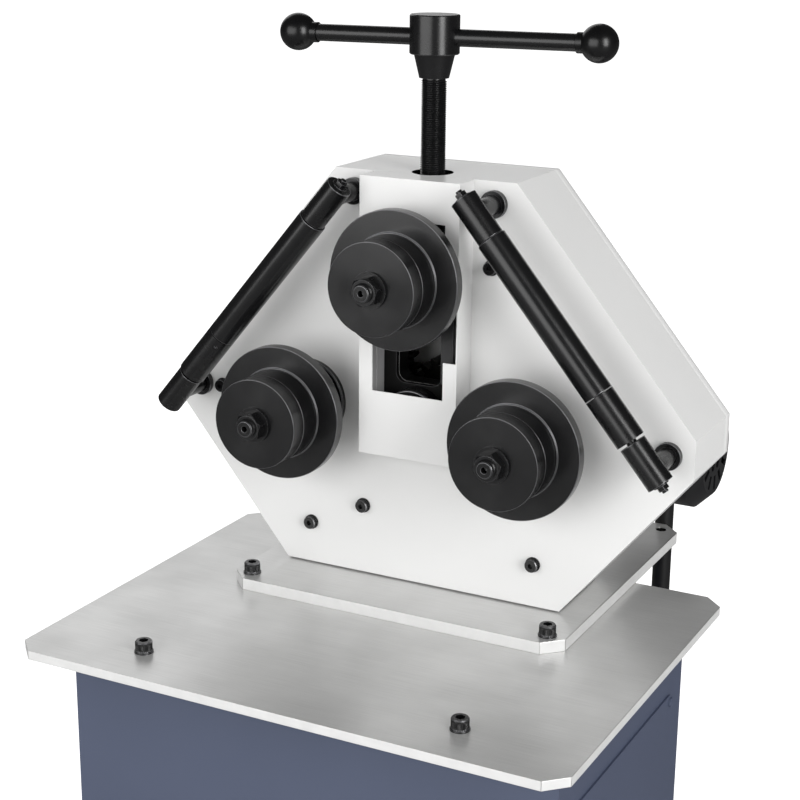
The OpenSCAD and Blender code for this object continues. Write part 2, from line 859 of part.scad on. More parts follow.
module gib_strip() {
    color("dimgray") at_drive() difference() {
        block([gib_inner, -rail_d, gib_low], [gib_inner + gib_w, 0, rail_high]);
        for (k = rail_screw_shares) translate([gib_inner + gib_w / 2, 0, k * rail_high]) {
            rod_y(-rail_d - cut, cut, m6_d);
            rod_y(-rail_d - cut, -rail_d + m6_head_h, m6_head_d);
        }
    }
}

module guide_rail_screws() {
    len = rail_d - m6_head_h + rail_screw_in;
    color("dimgray") at_drive() for (p = rail_screws_at)
        translate([p[0], -rail_d + m6_head_h, p[1]]) rotate([90, 0, 0])
            socket_screw(m6_d, len, m6_head_d, m6_head_h, m6_key_af, m6_key_depth);
}

module wear_plate() {
    left = -rail_inner;
    color("black") at_drive() difference() {
        union() {
            block([left, -wear_t, wear_low], [gib_inner, 0, wear_high]);
            block([left, -wear_t, wear_low], [gib_inner + gib_w, 0, gib_low]);
        }
        rod_y(-wear_t - cut, cut, boss_d + 2 * face_gap);
        slot_bar(slot_half, -wear_t - cut, cut, slot_low, wear_high + cut);
    }
}

module spindle_nut() {
    shelf = head_rise - side_wall_t;
    below = nut_flange_h + nut_tail;
    color("darkgoldenrod") at_drive() translate([0, screw_y, 0]) difference() {
        union() {
            translate([0, 0, shelf - below])
                cylinder(h = below + side_wall_t - nut_recess, d = top_hole_d - 2 * run_gap);
            translate([0, 0, shelf - nut_flange_h]) cylinder(h = nut_flange_h, d = nut_flange_d);
        }
        translate([0, 0, shelf - below - cut])
            cylinder(h = below + side_wall_t + 2 * cut, d = screw_d + 2 * run_gap);
    }
}

// Bearings and caps

// A shielded ball bearing from place y, with sunk shields between its two races
module ball_bearing(y, size) {
    outer = size[0] / 2;
    bore = size[1] / 2 + run_gap;
    low = y + bearing_recess;
    high = y + size[2] - bearing_recess;
    turned_y([
        [bore, y], [bore + bearing_race, y], [bore + bearing_race, low], [outer - bearing_race, low],
        [outer - bearing_race, y], [outer, y], [outer, y + size[2]], [outer - bearing_race, y + size[2]],
        [outer - bearing_race, high], [bore + bearing_race, high], [bore + bearing_race, y + size[2]],
        [bore, y + size[2]]
    ]);
}

module ball_bearings() {
    color("silver") at_drive() {
        for (s = [-1, 1]) translate([s * roller_x, 0, 0]) {
            ball_bearing(0, roller_bearing);
            ball_bearing(head_back, roller_bearing);
        }
        ball_bearing(bearing_seat - pinion_bearing[2], pinion_bearing);
        ball_bearing(head_d - pinion_bearing[2], pinion_bearing);
    }
}

module bearing_caps() {
    lip = roller_bearing[0] / 2 - bearing_race;
    over = head_back + roller_bearing[2] - head_d;
    color("dimgray") at_drive() for (s = [-1, 1]) translate([s * roller_x, 0, 0]) {
        rim = (s < 0 ? left_cap_d : right_cap_d) / 2;
        turned_y([
            [shaft_d / 2 + face_gap, -cap_t], [rim - edge, -cap_t], [rim, -cap_t + edge],
            [rim, 0], [lip, 0], [lip, -cap_t / 2], [shaft_d / 2 + face_gap, -cap_t / 2]
        ]);
        turned_y([
            [0, head_d + rear_cap_t], [rear_cap_d / 2 - edge, head_d + rear_cap_t],
            [rear_cap_d / 2, head_d + rear_cap_t - edge], [rear_cap_d / 2, head_d],
            [roller_bearing[0] / 2, head_d], [roller_bearing[0] / 2, head_d + over], [lip, head_d + over],
            [lip, head_d + over + edge], [0, head_d + over + edge]
        ]);
    }
}

module pinion_bearing_cap() {
    spigot = pinion_bearing[0] / 2;
    color("black") at_drive() turned_y([
        [0, -boss_h], [boss_d / 2 - edge, -boss_h], [boss_d / 2, -boss_h + edge], [boss_d / 2, 0],
        [spigot, 0], [spigot, bearing_seat - pinion_bearing[2]],
        [spigot - bearing_race, bearing_seat - pinion_bearing[2]], [spigot - bearing_race, -boss_h / 2],
        [0, -boss_h / 2]
    ]);
}

module face_screws() {
    len = m8_washer_t + face_screw_depth - cut;
    color("dimgray") at_drive() for (p = face_screws_at) translate([p[0], 0, p[1]]) rotate([90, 0, 0]) {
        translate([0, 0, m8_washer_t])
            socket_screw(m8_d, len, m8_head_d, m8_low_head_h, m8_key_af, m8_key_depth);
        ring(m8_washer_d, m8_d + face_gap, m8_washer_t - seam);
    }
}

// Guides, each along its own +Z from its upper end to its lower end

module at_guide(side) {
    at_drive() translate([side * guide_top_x, -guide_lead, guide_top_rise])
        rotate([0, side * (180 - guide_lean), 0]) children();
}

// The left guide's tube is shorter, and its set collar longer by as much
function tube_len(side) = guide_tube_len - (side < 0 ? left_collar_more : 0);

module guide_arm_places() {
    share = arm_inset / guide_len;
    for (side = [-1, 1], s = [share, 1 - share])
        translate([side * (guide_top_x + s * guide_run_x), 0, guide_top_rise - s * guide_run_z]) children();
}

module guide_arms() {
    color("dimgray") at_drive() guide_arm_places()
        rod_y(-guide_lead + guide_axle_d / 2 + face_gap, arm_seat, arm_d);
}

module guide_collars() {
    color("black") at_drive() guide_arm_places() difference() {
        rod_y(-arm_collar_t, 0, arm_collar_d);
        rod_y(-arm_collar_t - cut, cut, arm_d + 2 * run_gap);
    }
}

// The left guide's lower end piece is closed, and the other three carry a nut
module guide_end_pieces() {
    color("dimgray") difference() {
        for (side = [-1, 1]) at_guide(side) {
            ring(guide_end_d, guide_axle_d, guide_end_len);
            translate([0, 0, guide_len - guide_end_len]) difference() {
                cylinder(h = guide_end_len, d = guide_end_d);
                translate([0, 0, -cut])
                    cylinder(h = guide_end_len + (side < 0 ? cut - blind_end_t : 2 * cut), d = guide_axle_d);
            }
        }
        at_drive() guide_arm_places() rod_y(-guide_lead, 0, arm_d + 2 * run_gap);
    }
}

module guide_axles() {
    color("dimgray") for (side = [-1, 1]) at_guide(side) {
        cylinder(h = guide_len - (side < 0 ? blind_end_t + face_gap : 0), d = guide_axle_d);
        translate([0, 0, -axle_over]) cylinder(h = axle_over + cut, d = axle_end_d);
        if (side > 0) translate([0, 0, guide_len - cut]) cylinder(h = axle_over + cut, d = axle_end_d);
    }
}

module set_collars() {
    color("dimgray") for (side = [-1, 1]) at_guide(side) difference() {
        translate([0, 0, guide_end_len + tube_len(side)])
            ring(guide_tube_d, guide_axle_d, collar_end - guide_end_len - tube_len(side));
        at_grub(side) cylinder(h = guide_tube_d, d = grub_d + 2 * run_gap);
    }
}

// The line of a grub screw, which points forwards on the left guide and to the rear on the right one
module at_grub(side) {
    translate([0, 0, collar_end - (side < 0 ? grub_in : grub_in_right)])
        rotate([0, 0, side * (side < 0 ? grub_turn : grub_turn_right)]) rotate([90, 0, 0]) children();
}

module grub_screws() {
    low = guide_axle_d / 2 + seam;
    high = guide_tube_d / 2 - edge;
    color("black") for (side = [-1, 1]) at_guide(side)
        at_grub(side) difference() {
            translate([0, 0, low]) cylinder(h = high - low, d = grub_d);
            translate([0, 0, high - grub_d / 3]) hexagon(grub_d / 2, grub_d);
        }
}

module guide_nuts() {
    color("black") for (side = [-1, 1]) at_guide(side) {
        guide_nut();
        if (side > 0) translate([0, 0, guide_len]) mirror([0, 0, 1]) guide_nut();
    }
}

module guide_nut() {
    translate([0, 0, -axle_washer_t + seam]) ring(axle_washer_d, axle_end_d, axle_washer_t - seam);
    translate([0, 0, -axle_washer_t - axle_nut_h]) difference() {
        hexagon(axle_nut_af, axle_nut_h);
        translate([0, 0, -cut]) cylinder(h = axle_nut_h + 2 * cut, d = axle_end_d);
    }
}

module guide_roller(side) {
    color("dimgray") at_guide(side) translate([0, 0, guide_end_len + tube_gap])
        ring(guide_tube_d, guide_axle_d + 2 * tube_bore_gap, tube_len(side) - 2 * tube_gap);
}

module left_guide_roller() {
    guide_roller(-1);
}

module right_guide_roller() {
    guide_roller(1);
}

// Drive

module gearbox_housing() {
    color("dimgray") at_drive() difference() {
        union() {
            turned_y([
                [0, gearbox_front], [gearbox_r, gearbox_front], [gearbox_r, gearbox_back - gearbox_chamfer],
                [gearbox_r - gearbox_chamfer, gearbox_back], [0, gearbox_back]
            ]);
            translate([0, motor_y, -worm_drop]) {
                rod_x(-worm_end_x, worm_end_x, 2 * worm_r);
                rod_x(-worm_end_x - worm_cap_t, -worm_end_x, 2 * worm_cap_r);
                rod_x(worm_end_x - cut, motor_start, 2 * motor_flange_r);
            }
            translate([0, motor_y, -worm_drop / 2])
                cube([2 * body_half_w, 2 * worm_r, worm_drop], center = true);
            for (s = [-1, 1])
                translate([s * (body_half_w - web_t), (gearbox_front + gearbox_back) / 2, -worm_drop])
                    cube([web_t, gearbox_back - gearbox_front - 2 * web_short, web_h], center = true);
        }
        rod_y(gearbox_front - cut, gearbox_back + cut, pinion_bearing[1] + 2 * face_gap);
    }
}

module gearbox_flange() {
    color("dimgray") at_drive() difference() {
        union() {
            rod_y(head_d, head_d + flange_plate_t, flange_plate_d);
            rod_y(head_d, gearbox_front, 2 * gearbox_neck_r);
            rod_y(gearbox_front - flange_plate_t, gearbox_front, 2 * gearbox_r);
        }
        rod_y(head_d - cut, gearbox_front + cut, pinion_mid_d + 2 * face_gap);
        for (i = [0 : flange_bolts - 1]) rotate([0, 360 * (i + 0.5) / flange_bolts, 0])
            translate([flange_bolt_d / 2, 0, 0]) rod_y(head_d - cut, head_d + flange_plate_t + cut, m8_d);
    }
}

module motor_frame() {
    body_from = motor_start + motor_flange_t;
    color("black") at_drive() translate([0, motor_y, -worm_drop]) {
        rod_x(motor_start, body_from, 2 * motor_flange_r);
        rod_x(body_from - cut, cowl_shoulder - core_short, 2 * motor_core_r);
        rod_x(cowl_start, cowl_start + shield_t, cowl_d - 2 * cowl_t - 2 * seam);
        for (i = [0 : motor_ribs - 1]) rotate([360 * (i + 0.5) / motor_ribs, 0, 0])
            translate([body_from - cut, -motor_rib_t / 2, 0])
                cube([cowl_start + 2 * cut - body_from, motor_rib_t, motor_d / 2]);
    }
}

module fan_cowl() {
    rim = cowl_d / 2;
    end_r = cowl_end_d / 2;
    color("black") at_drive() translate([0, motor_y, -worm_drop]) difference() {
        rotate([0, 90, 0]) rotate_extrude() polygon([
            [rim - cowl_t, cowl_start], [rim, cowl_start], [rim, cowl_shoulder], [end_r, cowl_end],
            [0, cowl_end], [0, cowl_end - cowl_t], [end_r - cowl_t / 2, cowl_end - cowl_t],
            [rim - cowl_t, cowl_shoulder - cowl_t / 2]
        ]);
        for (i = [0 : cowl_slots - 1]) rotate([360 * i / cowl_slots, 0, 0])
            translate([cowl_end - cowl_cut_back, -cowl_slot_w / 2, end_r * cowl_slot_from_share])
                cube([cowl_cut_back + cut, cowl_slot_w, end_r * cowl_slot_len_share]);
        for (i = [0 : cowl_holes - 1]) rotate([360 * (i + 0.5) / cowl_holes, 0, 0])
            translate([0, 0, end_r * cowl_hole_at_share])
                rod_x(cowl_end - cowl_cut_back, cowl_end + cut, cowl_hole_d);
    }
}

// The terminal box stands behind the motor, with its lid to the rear
module terminal_box() {
    from = motor_y + motor_core_r - edge;
    to = conduit_y + box_over;
    lid_w = box_right - box_left + 2 * box_lid_over;
    lid_h = box_high - box_low + 2 * box_lid_over;
    color("black") at_drive() {
        difference() {
            block([box_left, from, box_low], [box_right, to - box_lid_t, box_high]);
            translate([0, motor_y, -worm_drop])
                rod_x(box_left - cut, box_right + cut, motor_d + 2 * face_gap);
        }
        translate([(box_left + box_right) / 2, 0, (box_low + box_high) / 2]) along_y(to - box_lid_t, to)
            rounded_rect(lid_w, lid_h, box_lid_r);
    }
}

// The conduit runs down from the terminal box and turns in to the cabinet
module cable_conduit() {
    color("black") at_drive() translate([conduit_x, 0, 0]) {
        translate([0, conduit_y, conduit_foot_z + conduit_r])
            cylinder(h = box_low - conduit_foot_z - conduit_r, d = conduit_d);
        translate([0, conduit_bend_y, conduit_foot_z + conduit_r]) rotate([0, 0, 90]) rotate([90, 0, 0])
            rotate_extrude(angle = -90) translate([conduit_r, 0]) circle(d = conduit_d);
        translate([0, 0, conduit_foot_z]) rod_y(wall_y - cabinet_t - cut, conduit_bend_y, conduit_d);
    }
}

module conduit_glands() {
    color("dimgray") at_drive() translate([conduit_x, 0, 0]) {
        translate([0, conduit_y, box_low]) mirror([0, 0, 1]) gland();
        translate([0, wall_y, conduit_foot_z]) rotate([-90, 0, 0]) gland();
    }
}

module gland() {
    difference() {
        union() {
            hexagon(gland_d, gland_len / 2);
            cylinder(h = gland_len, d = gland_d - 2 * edge);
        }
        translate([0, 0, -cut]) cylinder(h = gland_len + 2 * cut, d = conduit_d + 2 * run_gap);
    }
}

// Slide, screw and handle

module slide_block() {
    front = -rail_d + face_gap;
    pocket_z = slide_high - thrust_pocket;
    color("dimgray") at_drive() difference() {
        union() {
            block(
                [-rail_inner + face_gap, front, slide_low],
                [gib_inner - face_gap, -wear_t - face_gap, slide_high]
            );
            slot_bar(slot_half - face_gap, front + cut, front_wall_t + face_gap + cut, slide_low, slide_high);
            block(
                [-slide_rear_half, front_wall_t + face_gap, slide_low],
                [slide_rear_half, slide_back, slide_high]
            );
        }
        translate([0, 0, top_roller_rise]) rod_y(front - cut, slide_back + cut, shaft_d + 2 * bush_wall);
        translate([0, screw_y, pocket_z]) cylinder(h = thrust_pocket + cut, d = thrust_d + 2 * face_gap);
    }
}

// A square cap in two halves, clamped round the screw's collar
module thrust_cap() {
    half = thrust_cap_half;
    color("silver") at_drive() translate([0, screw_y, slide_high]) difference() {
        for (s = [-1, 1]) translate([s * (half + thrust_split / 2) / 2, 0, thrust_cap_h / 2])
            cube([half - thrust_split / 2, 2 * half, thrust_cap_h], center = true);
        translate([0, 0, -cut]) cylinder(h = thrust_cap_h + 2 * cut, d = screw_d + 2 * face_gap);
    }
}

module shaft_bushes() {
    front = -rail_d + face_gap;
    color("goldenrod") at_top_roller() for (y = [front, slide_back - bush_len]) turned_y([
        [shaft_d / 2 + run_gap, y], [shaft_d / 2 + bush_wall, y],
        [shaft_d / 2 + bush_wall, y + bush_len], [shaft_d / 2 + run_gap, y + bush_len]
    ]);
}

module spindle() {
    collar_z = slide_high - thrust_pocket + face_gap;
    top_z = handle_rise + hub_bore_top;
    color("silver") at_drive() translate([0, screw_y, 0]) rotate_extrude() polygon([
        [0, collar_z], [thrust_d / 2, collar_z], [thrust_d / 2, collar_z + thrust_h],
        [screw_d / 2, collar_z + thrust_h], [screw_d / 2, top_z], [0, top_z]
    ]);
}

module at_handle() {
    at_drive() translate([0, screw_y, handle_rise]) rotate([0, 0, bar_angle]) children();
}

module handle_hub() {
    r = handle_hub_d / 2;
    color("black") at_handle() difference() {
        rotate_extrude() polygon([
            [0, -cone_h], [cone_low_d / 2, -cone_h], [cone_top_d / 2, 0], [r - edge, 0], [r, edge],
            [r, handle_hub_h - edge], [r - edge, handle_hub_h], [0, handle_hub_h]
        ]);
        translate([0, 0, -cone_h - cut]) cylinder(h = cone_h + cut + hub_bore_top, d = screw_d + 2 * run_gap);
        translate([0, 0, bar_rise]) rod_x(-handle_hub_d, handle_hub_d, bar_d + 2 * run_gap);
    }
}

module handle_bar() {
    half = bar_span / 2 - ball_d / 4;
    color("black") at_handle() translate([bar_shift, 0, bar_rise]) rod_x(-half, half, bar_d);
}

module handle_balls() {
    color("black") at_handle() translate([bar_shift, 0, bar_rise]) {
        translate([bar_span / 2, 0, 0]) rotate([0, 90, 0]) ball_knob();
        translate([-bar_span / 2, 0, 0]) rotate([0, -90, 0]) ball_knob();
    }
}

// A ball knob with its neck down and a blind bore for the bar's end
module ball_knob() {
    neck_end = ball_d / 2 + ball_neck_len;
    bore_r = bar_d / 2 + run_gap;
    rotate_extrude() difference() {
        union() {
            circle(d = ball_d);
            translate([0, -neck_end]) square([ball_neck_d / 2, neck_end]);
        }
        translate([-ball_d, -ball_d]) square([ball_d, 2 * ball_d]);
        translate([0, -neck_end - cut]) square([bore_r, neck_end + cut + ball_d / 4 + run_gap]);
    }
}

// Rollers

// A roller's shaft from its threaded end to the place given, with the shoulder behind the flange
module roller_shaft(shoulder_back, tail) {
    thread_r = shaft_thread_d / 2;
    tip = nut_front + shaft_over;
    color("dimgray") turned_y([
        [0, -tip + centre_hole_depth], [centre_hole_d / 2, -tip + centre_hole_depth - edge],
        [centre_hole_d / 2, -tip], [thread_r - 2 * edge, -tip], [thread_r, -tip + 2 * edge],
        [thread_r, -outer_front + edge], [shaft_d / 2, -outer_front + edge], [shaft_d / 2, -flange_back],
        [shoulder_d / 2, -flange_back], [shoulder_d / 2, -shoulder_back],
        [shaft_d / 2, -shoulder_back], [shaft_d / 2, tail], [0, tail]
    ]);
}

// A disc with its two rims broken, bored for the shaft
module roller_disc(front, back, d) {
    turned_y([
        [shaft_d / 2, -front], [d / 2 - edge, -front], [d / 2, -front + edge],
        [d / 2, -back - edge], [d / 2 - edge, -back], [shaft_d / 2, -back]
    ]);
}

module hub_discs() {
    color("dimgray") {
        roller_disc(inner_front - seam, inner_back, hub_d);
        roller_disc(outer_front, inner_front, hub_d);
    }
}

// The flange disc has a low land round the hub discs' foot
module flange_disc() {
    land_r = hub_d / 2 + land_over;
    color("dimgray") turned_y([
        [shaft_d / 2, -inner_back], [land_r - edge, -inner_back], [land_r, -inner_back + edge],
        [land_r, -flange_front], [flange_d / 2 - edge, -flange_front], [flange_d / 2, -flange_front + edge],
        [flange_d / 2, -flange_back - edge], [flange_d / 2 - edge, -flange_back], [shaft_d / 2, -flange_back]
    ]);
}

module roller_nut() {
    color("dimgray") {
        translate([0, -outer_front, 0]) rotate([90, 0, 0])
            ring(roller_washer_d, shaft_thread_d, roller_washer_t - seam);
        translate([0, -washer_front, 0]) rotate([90, 0, 0]) difference() {
            intersection() {
                rotate([0, 0, nut_turn]) hexagon(roller_nut_af, roller_nut_h);
                rotate_extrude() polygon([
                    [0, 0], [nut_cone_r, 0], [nut_cone_r, roller_nut_h - nut_cone_h],
                    [nut_face_r, roller_nut_h], [0, roller_nut_h]
                ]);
            }
            translate([0, 0, -cut]) cylinder(h = roller_nut_h + 2 * cut, d = shaft_thread_d);
        }
    }
}

module gear(n, turn, bore_d) {
    difference() {
        union() {
            along_y(gear_front, gear_back) polygon(gear_points(n, turn));
            rod_y(gear_hub_front, gear_front + cut, gear_hub_d);
        }
        rod_y(gear_hub_front - cut, gear_back + cut, bore_d);
    }
}

module top_shaft() {
    at_top_roller() roller_shaft(rail_d, slide_back + 2 * face_gap);
}

module top_hub_discs() {
    at_top_roller() hub_discs();
}

module top_flange() {
    at_top_roller() flange_disc();
}

module top_nut() {
    at_top_roller() roller_nut();
}

module lower_shaft(side) {
    at_lower_roller(side) roller_shaft(cap_t + face_gap, head_back + roller_bearing[2]);
}

module left_shaft() {
    lower_shaft(-1);
}

module left_hub_discs() {
    at_lower_roller(-1) hub_discs();
}

module left_flange() {
    at_lower_roller(-1) flange_disc();
}

module left_nut() {
    at_lower_roller(-1) roller_nut();
}

module left_gear() {
    color("silver") at_lower_roller(-1) gear(gear_teeth, 0, shaft_d);
}

module right_shaft() {
    lower_shaft(1);
}

module right_hub_discs() {
    at_lower_roller(1) hub_discs();
}

module right_flange() {
    at_lower_roller(1) flange_disc();
}

module right_nut() {
    at_lower_roller(1) roller_nut();
}

module right_gear() {
    color("silver") at_lower_roller(1) gear(gear_teeth, 0, shaft_d);
}

module pinion_shaft() {
    journal = pinion_bearing[1] / 2;
    front = bearing_seat - pinion_bearing[2];
    color("silver") at_drive() {
        along_y(gear_front, gear_back) polygon(gear_points(pinion_teeth, 180 / pinion_teeth));
        turned_y([
            [0, front], [journal, front], [journal, front_wall_t + edge],
            [pinion_mid_d / 2, front_wall_t + edge], [pinion_mid_d / 2, head_back - edge],
            [journal, head_back - edge], [journal, pinion_tail], [0, pinion_tail]
        ]);
    }
}

cabinet();
side_panels();
panel_screws();
table_plate();
base_plate();
plate_bolts();
plate_washers();
plate_nuts();
countersunk_screws();
head_housing();
rear_plate();
rear_plate_screws();
front_cover();
left_guide_rail();
gib_strip();
guide_rail_screws();
wear_plate();
spindle_nut();
ball_bearings();
bearing_caps();
pinion_bearing_cap();
face_screws();
guide_arms();
guide_collars();
guide_end_pieces();
guide_axles();
set_collars();
grub_screws();
guide_nuts();
gearbox_housing();
gearbox_flange();
motor_frame();
fan_cowl();
terminal_box();
cable_conduit();
conduit_glands();
slide_block();
thrust_cap();
shaft_bushes();
spindle();
handle_hub();
handle_bar();
handle_balls();
top_shaft();
top_hub_discs();
top_flange();
top_nut();
left_shaft();
left_hub_discs();
left_flange();
left_nut();
left_gear();
right_shaft();
right_hub_discs();
right_flange();
right_nut();
right_gear();
pinion_shaft();
left_guide_roller();
right_guide_roller();
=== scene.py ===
from math import ceil, cos, hypot, pi, radians, sin, sqrt

import bmesh
import bpy
from mathutils import Matrix, Vector


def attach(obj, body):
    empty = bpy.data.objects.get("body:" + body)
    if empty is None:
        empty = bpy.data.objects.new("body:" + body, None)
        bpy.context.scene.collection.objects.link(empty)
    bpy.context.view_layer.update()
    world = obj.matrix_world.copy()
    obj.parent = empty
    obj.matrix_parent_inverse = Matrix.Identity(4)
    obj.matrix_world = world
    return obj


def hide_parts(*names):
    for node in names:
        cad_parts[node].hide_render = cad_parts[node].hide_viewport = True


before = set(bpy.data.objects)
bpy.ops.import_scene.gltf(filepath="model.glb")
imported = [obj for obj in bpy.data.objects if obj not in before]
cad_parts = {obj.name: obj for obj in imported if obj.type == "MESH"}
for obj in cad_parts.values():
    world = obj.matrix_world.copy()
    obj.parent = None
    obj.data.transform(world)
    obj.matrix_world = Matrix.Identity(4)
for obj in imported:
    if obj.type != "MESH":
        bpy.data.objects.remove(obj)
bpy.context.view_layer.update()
mm = 0.001
scene = bpy.context.scene

# The machine's own places, as in the CAD model
machine = {
    "driveAxis": Vector((0, 73, 968.2)) * mm,
    "rollerX": 124 * mm,
    "topRise": 144.5 * mm,
    "plateHoles": [(161.5, y) for y in (-168, 19.6, 337.9, 168)],
    "headDepth": 89,  # front face to back plate
    "headOutline": [(94.6, 233.9), (276.6, 16.2), (276.6, -21.4), (150.9, -174.7)],  # right half, from the axis
}
(topX, topZ), (midX, upZ), (_, downZ), (footX, footZ) = machine["headOutline"]
upperSlope, lowerSlope = (midX - topX) / (topZ - upZ), (midX - footX) / (downZ - footZ)
_, driveY, driveZ = machine["driveAxis"] / mm
rollerCentres = {
    "top": machine["driveAxis"] + Vector((0, 0, machine["topRise"])),
    "left": machine["driveAxis"] - Vector((machine["rollerX"], 0, 0)),
    "right": machine["driveAxis"] + Vector((machine["rollerX"], 0, 0)),
}

# Camera, solved from the photograph's edges and circles
cameraView = {
    "place": (0.7198, -1.3649, 1.4571),
    "right": (0.88717, 0.46135, 0.00953),
    "up": (-0.13855, 0.24662, 0.95916),
    "forward": (-0.44016, 0.85225, -0.28272),
    "lens": 78.02,
    "sensor": 36,
}


def makeCamera():
    data = bpy.data.cameras.new("photoCamera")
    data.lens, data.sensor_width = cameraView["lens"], cameraView["sensor"]
    data.clip_start, data.clip_end = 0.05, 200
    camera = bpy.data.objects.new("photoCamera", data)
    scene.collection.objects.link(camera)
    turn = Matrix((cameraView["right"], cameraView["up"], -Vector(cameraView["forward"]))).transposed()
    camera.matrix_world = Matrix.Translation(cameraView["place"]) @ turn.to_4x4()
    scene.camera = camera


makeCamera()
print("stage: camera")


def hexColor(text):
    parts = [int(text[i:i + 2], 16) / 255 for i in (0, 2, 4)]
    return [p / 12.92 if p <= 0.04045 else ((p + 0.055) / 1.055) ** 2.4 for p in parts] + [1]


# an input is a value, an output, or a node whose first output feeds it
def feed(tree, node, inputs):
    for name, value in inputs.items():
        if isinstance(value, bpy.types.Node):
            value = value.outputs[0]
        if isinstance(value, bpy.types.NodeSocket):
            tree.links.new(value, node.inputs[name])
        else:
            node.inputs[name].default_value = value


def addNode(tree, kind, settings=None, inputs=None):
    node = tree.nodes.new(kind)
    for name, value in (settings or {}).items():
        setattr(node, name, value)
    feed(tree, node, inputs or {})
    return node


def newMaterial(name, inputs):
    material = bpy.data.materials.new(name)
    material.use_nodes = True
    shader = material.node_tree.nodes["Principled BSDF"]
    feed(material.node_tree, shader, inputs)
    return material, material.node_tree, shader


# colour and gloss follow shade, which runs from 0 to 1; the relief follows height
def coat(tree, shader, shade, light, dark, gloss, height, depth, strength, more={}):
    colour = addNode(tree, "ShaderNodeMix", {"data_type": "RGBA"}, {0: shade, 6: hexColor(dark), 7: hexColor(light)})
    rough = addNode(tree, "ShaderNodeMapRange", {}, {"Value": shade, "To Min": gloss[0], "To Max": gloss[1]})
    bump = addNode(tree, "ShaderNodeBump", {}, {"Height": height, "Distance": depth, "Strength": strength})
    feed(tree, shader, {"Base Color": colour.outputs[2], "Roughness": rough, "Normal": bump} | more)


# Polyester powder, sprayed and baked: even colour, soft gloss, orange peel
def powderCoat(name, light, dark, roughness):
    cloudSize, peelSize, peelDepth = 90 * mm, 1.6 * mm, 0.02 * mm
    material, tree, shader = newMaterial(name, {"IOR": 1.5})
    place = addNode(tree, "ShaderNodeTexCoord").outputs["Object"]
    clouds = addNode(tree, "ShaderNodeTexNoise", {}, {"Vector": place, "Scale": 1 / cloudSize, "Detail": 2})
    peel = addNode(tree, "ShaderNodeTexNoise", {}, {"Vector": place, "Scale": 1 / peelSize, "Detail": 1})
    coat(tree, shader, clouds, light, dark, (roughness - 0.05, roughness + 0.05), peel, peelDepth, 0.6)
    return material


# Cold-rolled plate, belt ground lengthwise: grit lines drawn 0.6 mm apart, coarse enough to show, and a faint
# cloud from handling; the light smears across the lines
def groundSteel(name, light, dark, roughness, along, anisotropy, metallic):
    lineGap, bandGap, cloudSize, lineDepth = 0.6 * mm, 9 * mm, 70 * mm, 0.004 * mm
    material, tree, shader = newMaterial(
        name, {"Metallic": metallic, "Anisotropic": anisotropy, "Anisotropic Rotation": 0.25}
    )
    place = addNode(tree, "ShaderNodeTexCoord").outputs["Object"]
    stretch = [0.012 if axis == along else 1 for axis in "xyz"]
    drawn = addNode(tree, "ShaderNodeMapping", {}, {"Vector": place, "Scale": stretch})
    lines = addNode(tree, "ShaderNodeTexNoise", {}, {"Vector": drawn, "Scale": 1 / lineGap, "Detail": 2})
    bands = addNode(tree, "ShaderNodeTexNoise", {}, {"Vector": drawn, "Scale": 1 / bandGap, "Detail": 3})
    clouds = addNode(tree, "ShaderNodeTexNoise", {}, {"Vector": place, "Scale": 1 / cloudSize, "Detail": 3})
    grain = addNode(tree, "ShaderNodeMath", {"operation": "MULTIPLY_ADD"}, {0: bands, 1: 0.25, 2: lines})
    mixed = addNode(tree, "ShaderNodeMath", {"operation": "ADD"}, {0: clouds, 1: grain})
    shade = addNode(tree, "ShaderNodeMapRange", {}, {"Value": mixed, "From Min": 0.8, "From Max": 1.45})
    skew = [1.0 if axis == along else 0.02 for axis in "xyz"]  # never quite square to a face
    grind = addNode(tree, "ShaderNodeCombineXYZ", {}, dict(enumerate(skew)))
    gloss = (roughness + 0.05, roughness - 0.05)
    coat(tree, shader, shade, light, dark, gloss, lines, lineDepth, 0.4, {"Tangent": grind})
    return material


# Carbon steel, turned, ground and black oxided: tool marks in circles round the axis, drawn 0.9 mm apart so that
# they show, under a thin oiled layer that shines like no bare metal does
def turnedBlack(name, light, dark, roughness, centre):
    markGap, cloudSize, markDepth = 0.9 * mm, 24 * mm, 0.0012 * mm
    material, tree, shader = newMaterial(name, {"IOR": 1.62, "Anisotropic": 0.4, "Anisotropic Rotation": 0.25})
    place = addNode(tree, "ShaderNodeTexCoord").outputs["Object"]
    centred = addNode(tree, "ShaderNodeMapping", {}, {"Vector": place, "Location": -Vector(centre)})
    marks = addNode(
        tree, "ShaderNodeTexWave",
        {"wave_type": "RINGS", "rings_direction": "Y", "wave_profile": "SIN"},
        {"Vector": centred, "Scale": 2 * pi / (20 * markGap), "Distortion": 1.2, "Detail": 2, "Detail Scale": 2},
    ).outputs["Fac"]
    clouds = addNode(tree, "ShaderNodeTexNoise", {}, {"Vector": place, "Scale": 1 / cloudSize, "Detail": 4})
    mixed = addNode(tree, "ShaderNodeMath", {"operation": "MULTIPLY_ADD"}, {0: marks, 1: 0.25, 2: clouds})
    colour = addNode(tree, "ShaderNodeMix", {"data_type": "RGBA"}, {0: clouds, 6: hexColor(dark), 7: hexColor(light)})
    gloss = addNode(
        tree, "ShaderNodeMapRange", {},
        {"Value": mixed, "From Min": 0.3, "From Max": 0.9, "To Min": roughness - 0.04, "To Max": roughness + 0.06},
    )
    bump = addNode(tree, "ShaderNodeBump", {}, {"Height": marks, "Distance": markDepth, "Strength": 0.3})
    turned = addNode(tree, "ShaderNodeVectorMath", {"operation": "CROSS_PRODUCT"}, {0: centred, 1: (0, 1, 0)})
    feed(tree, shader, {"Base Color": colour.outputs[2], "Roughness": gloss, "Normal": bump, "Tangent": turned})
    return material


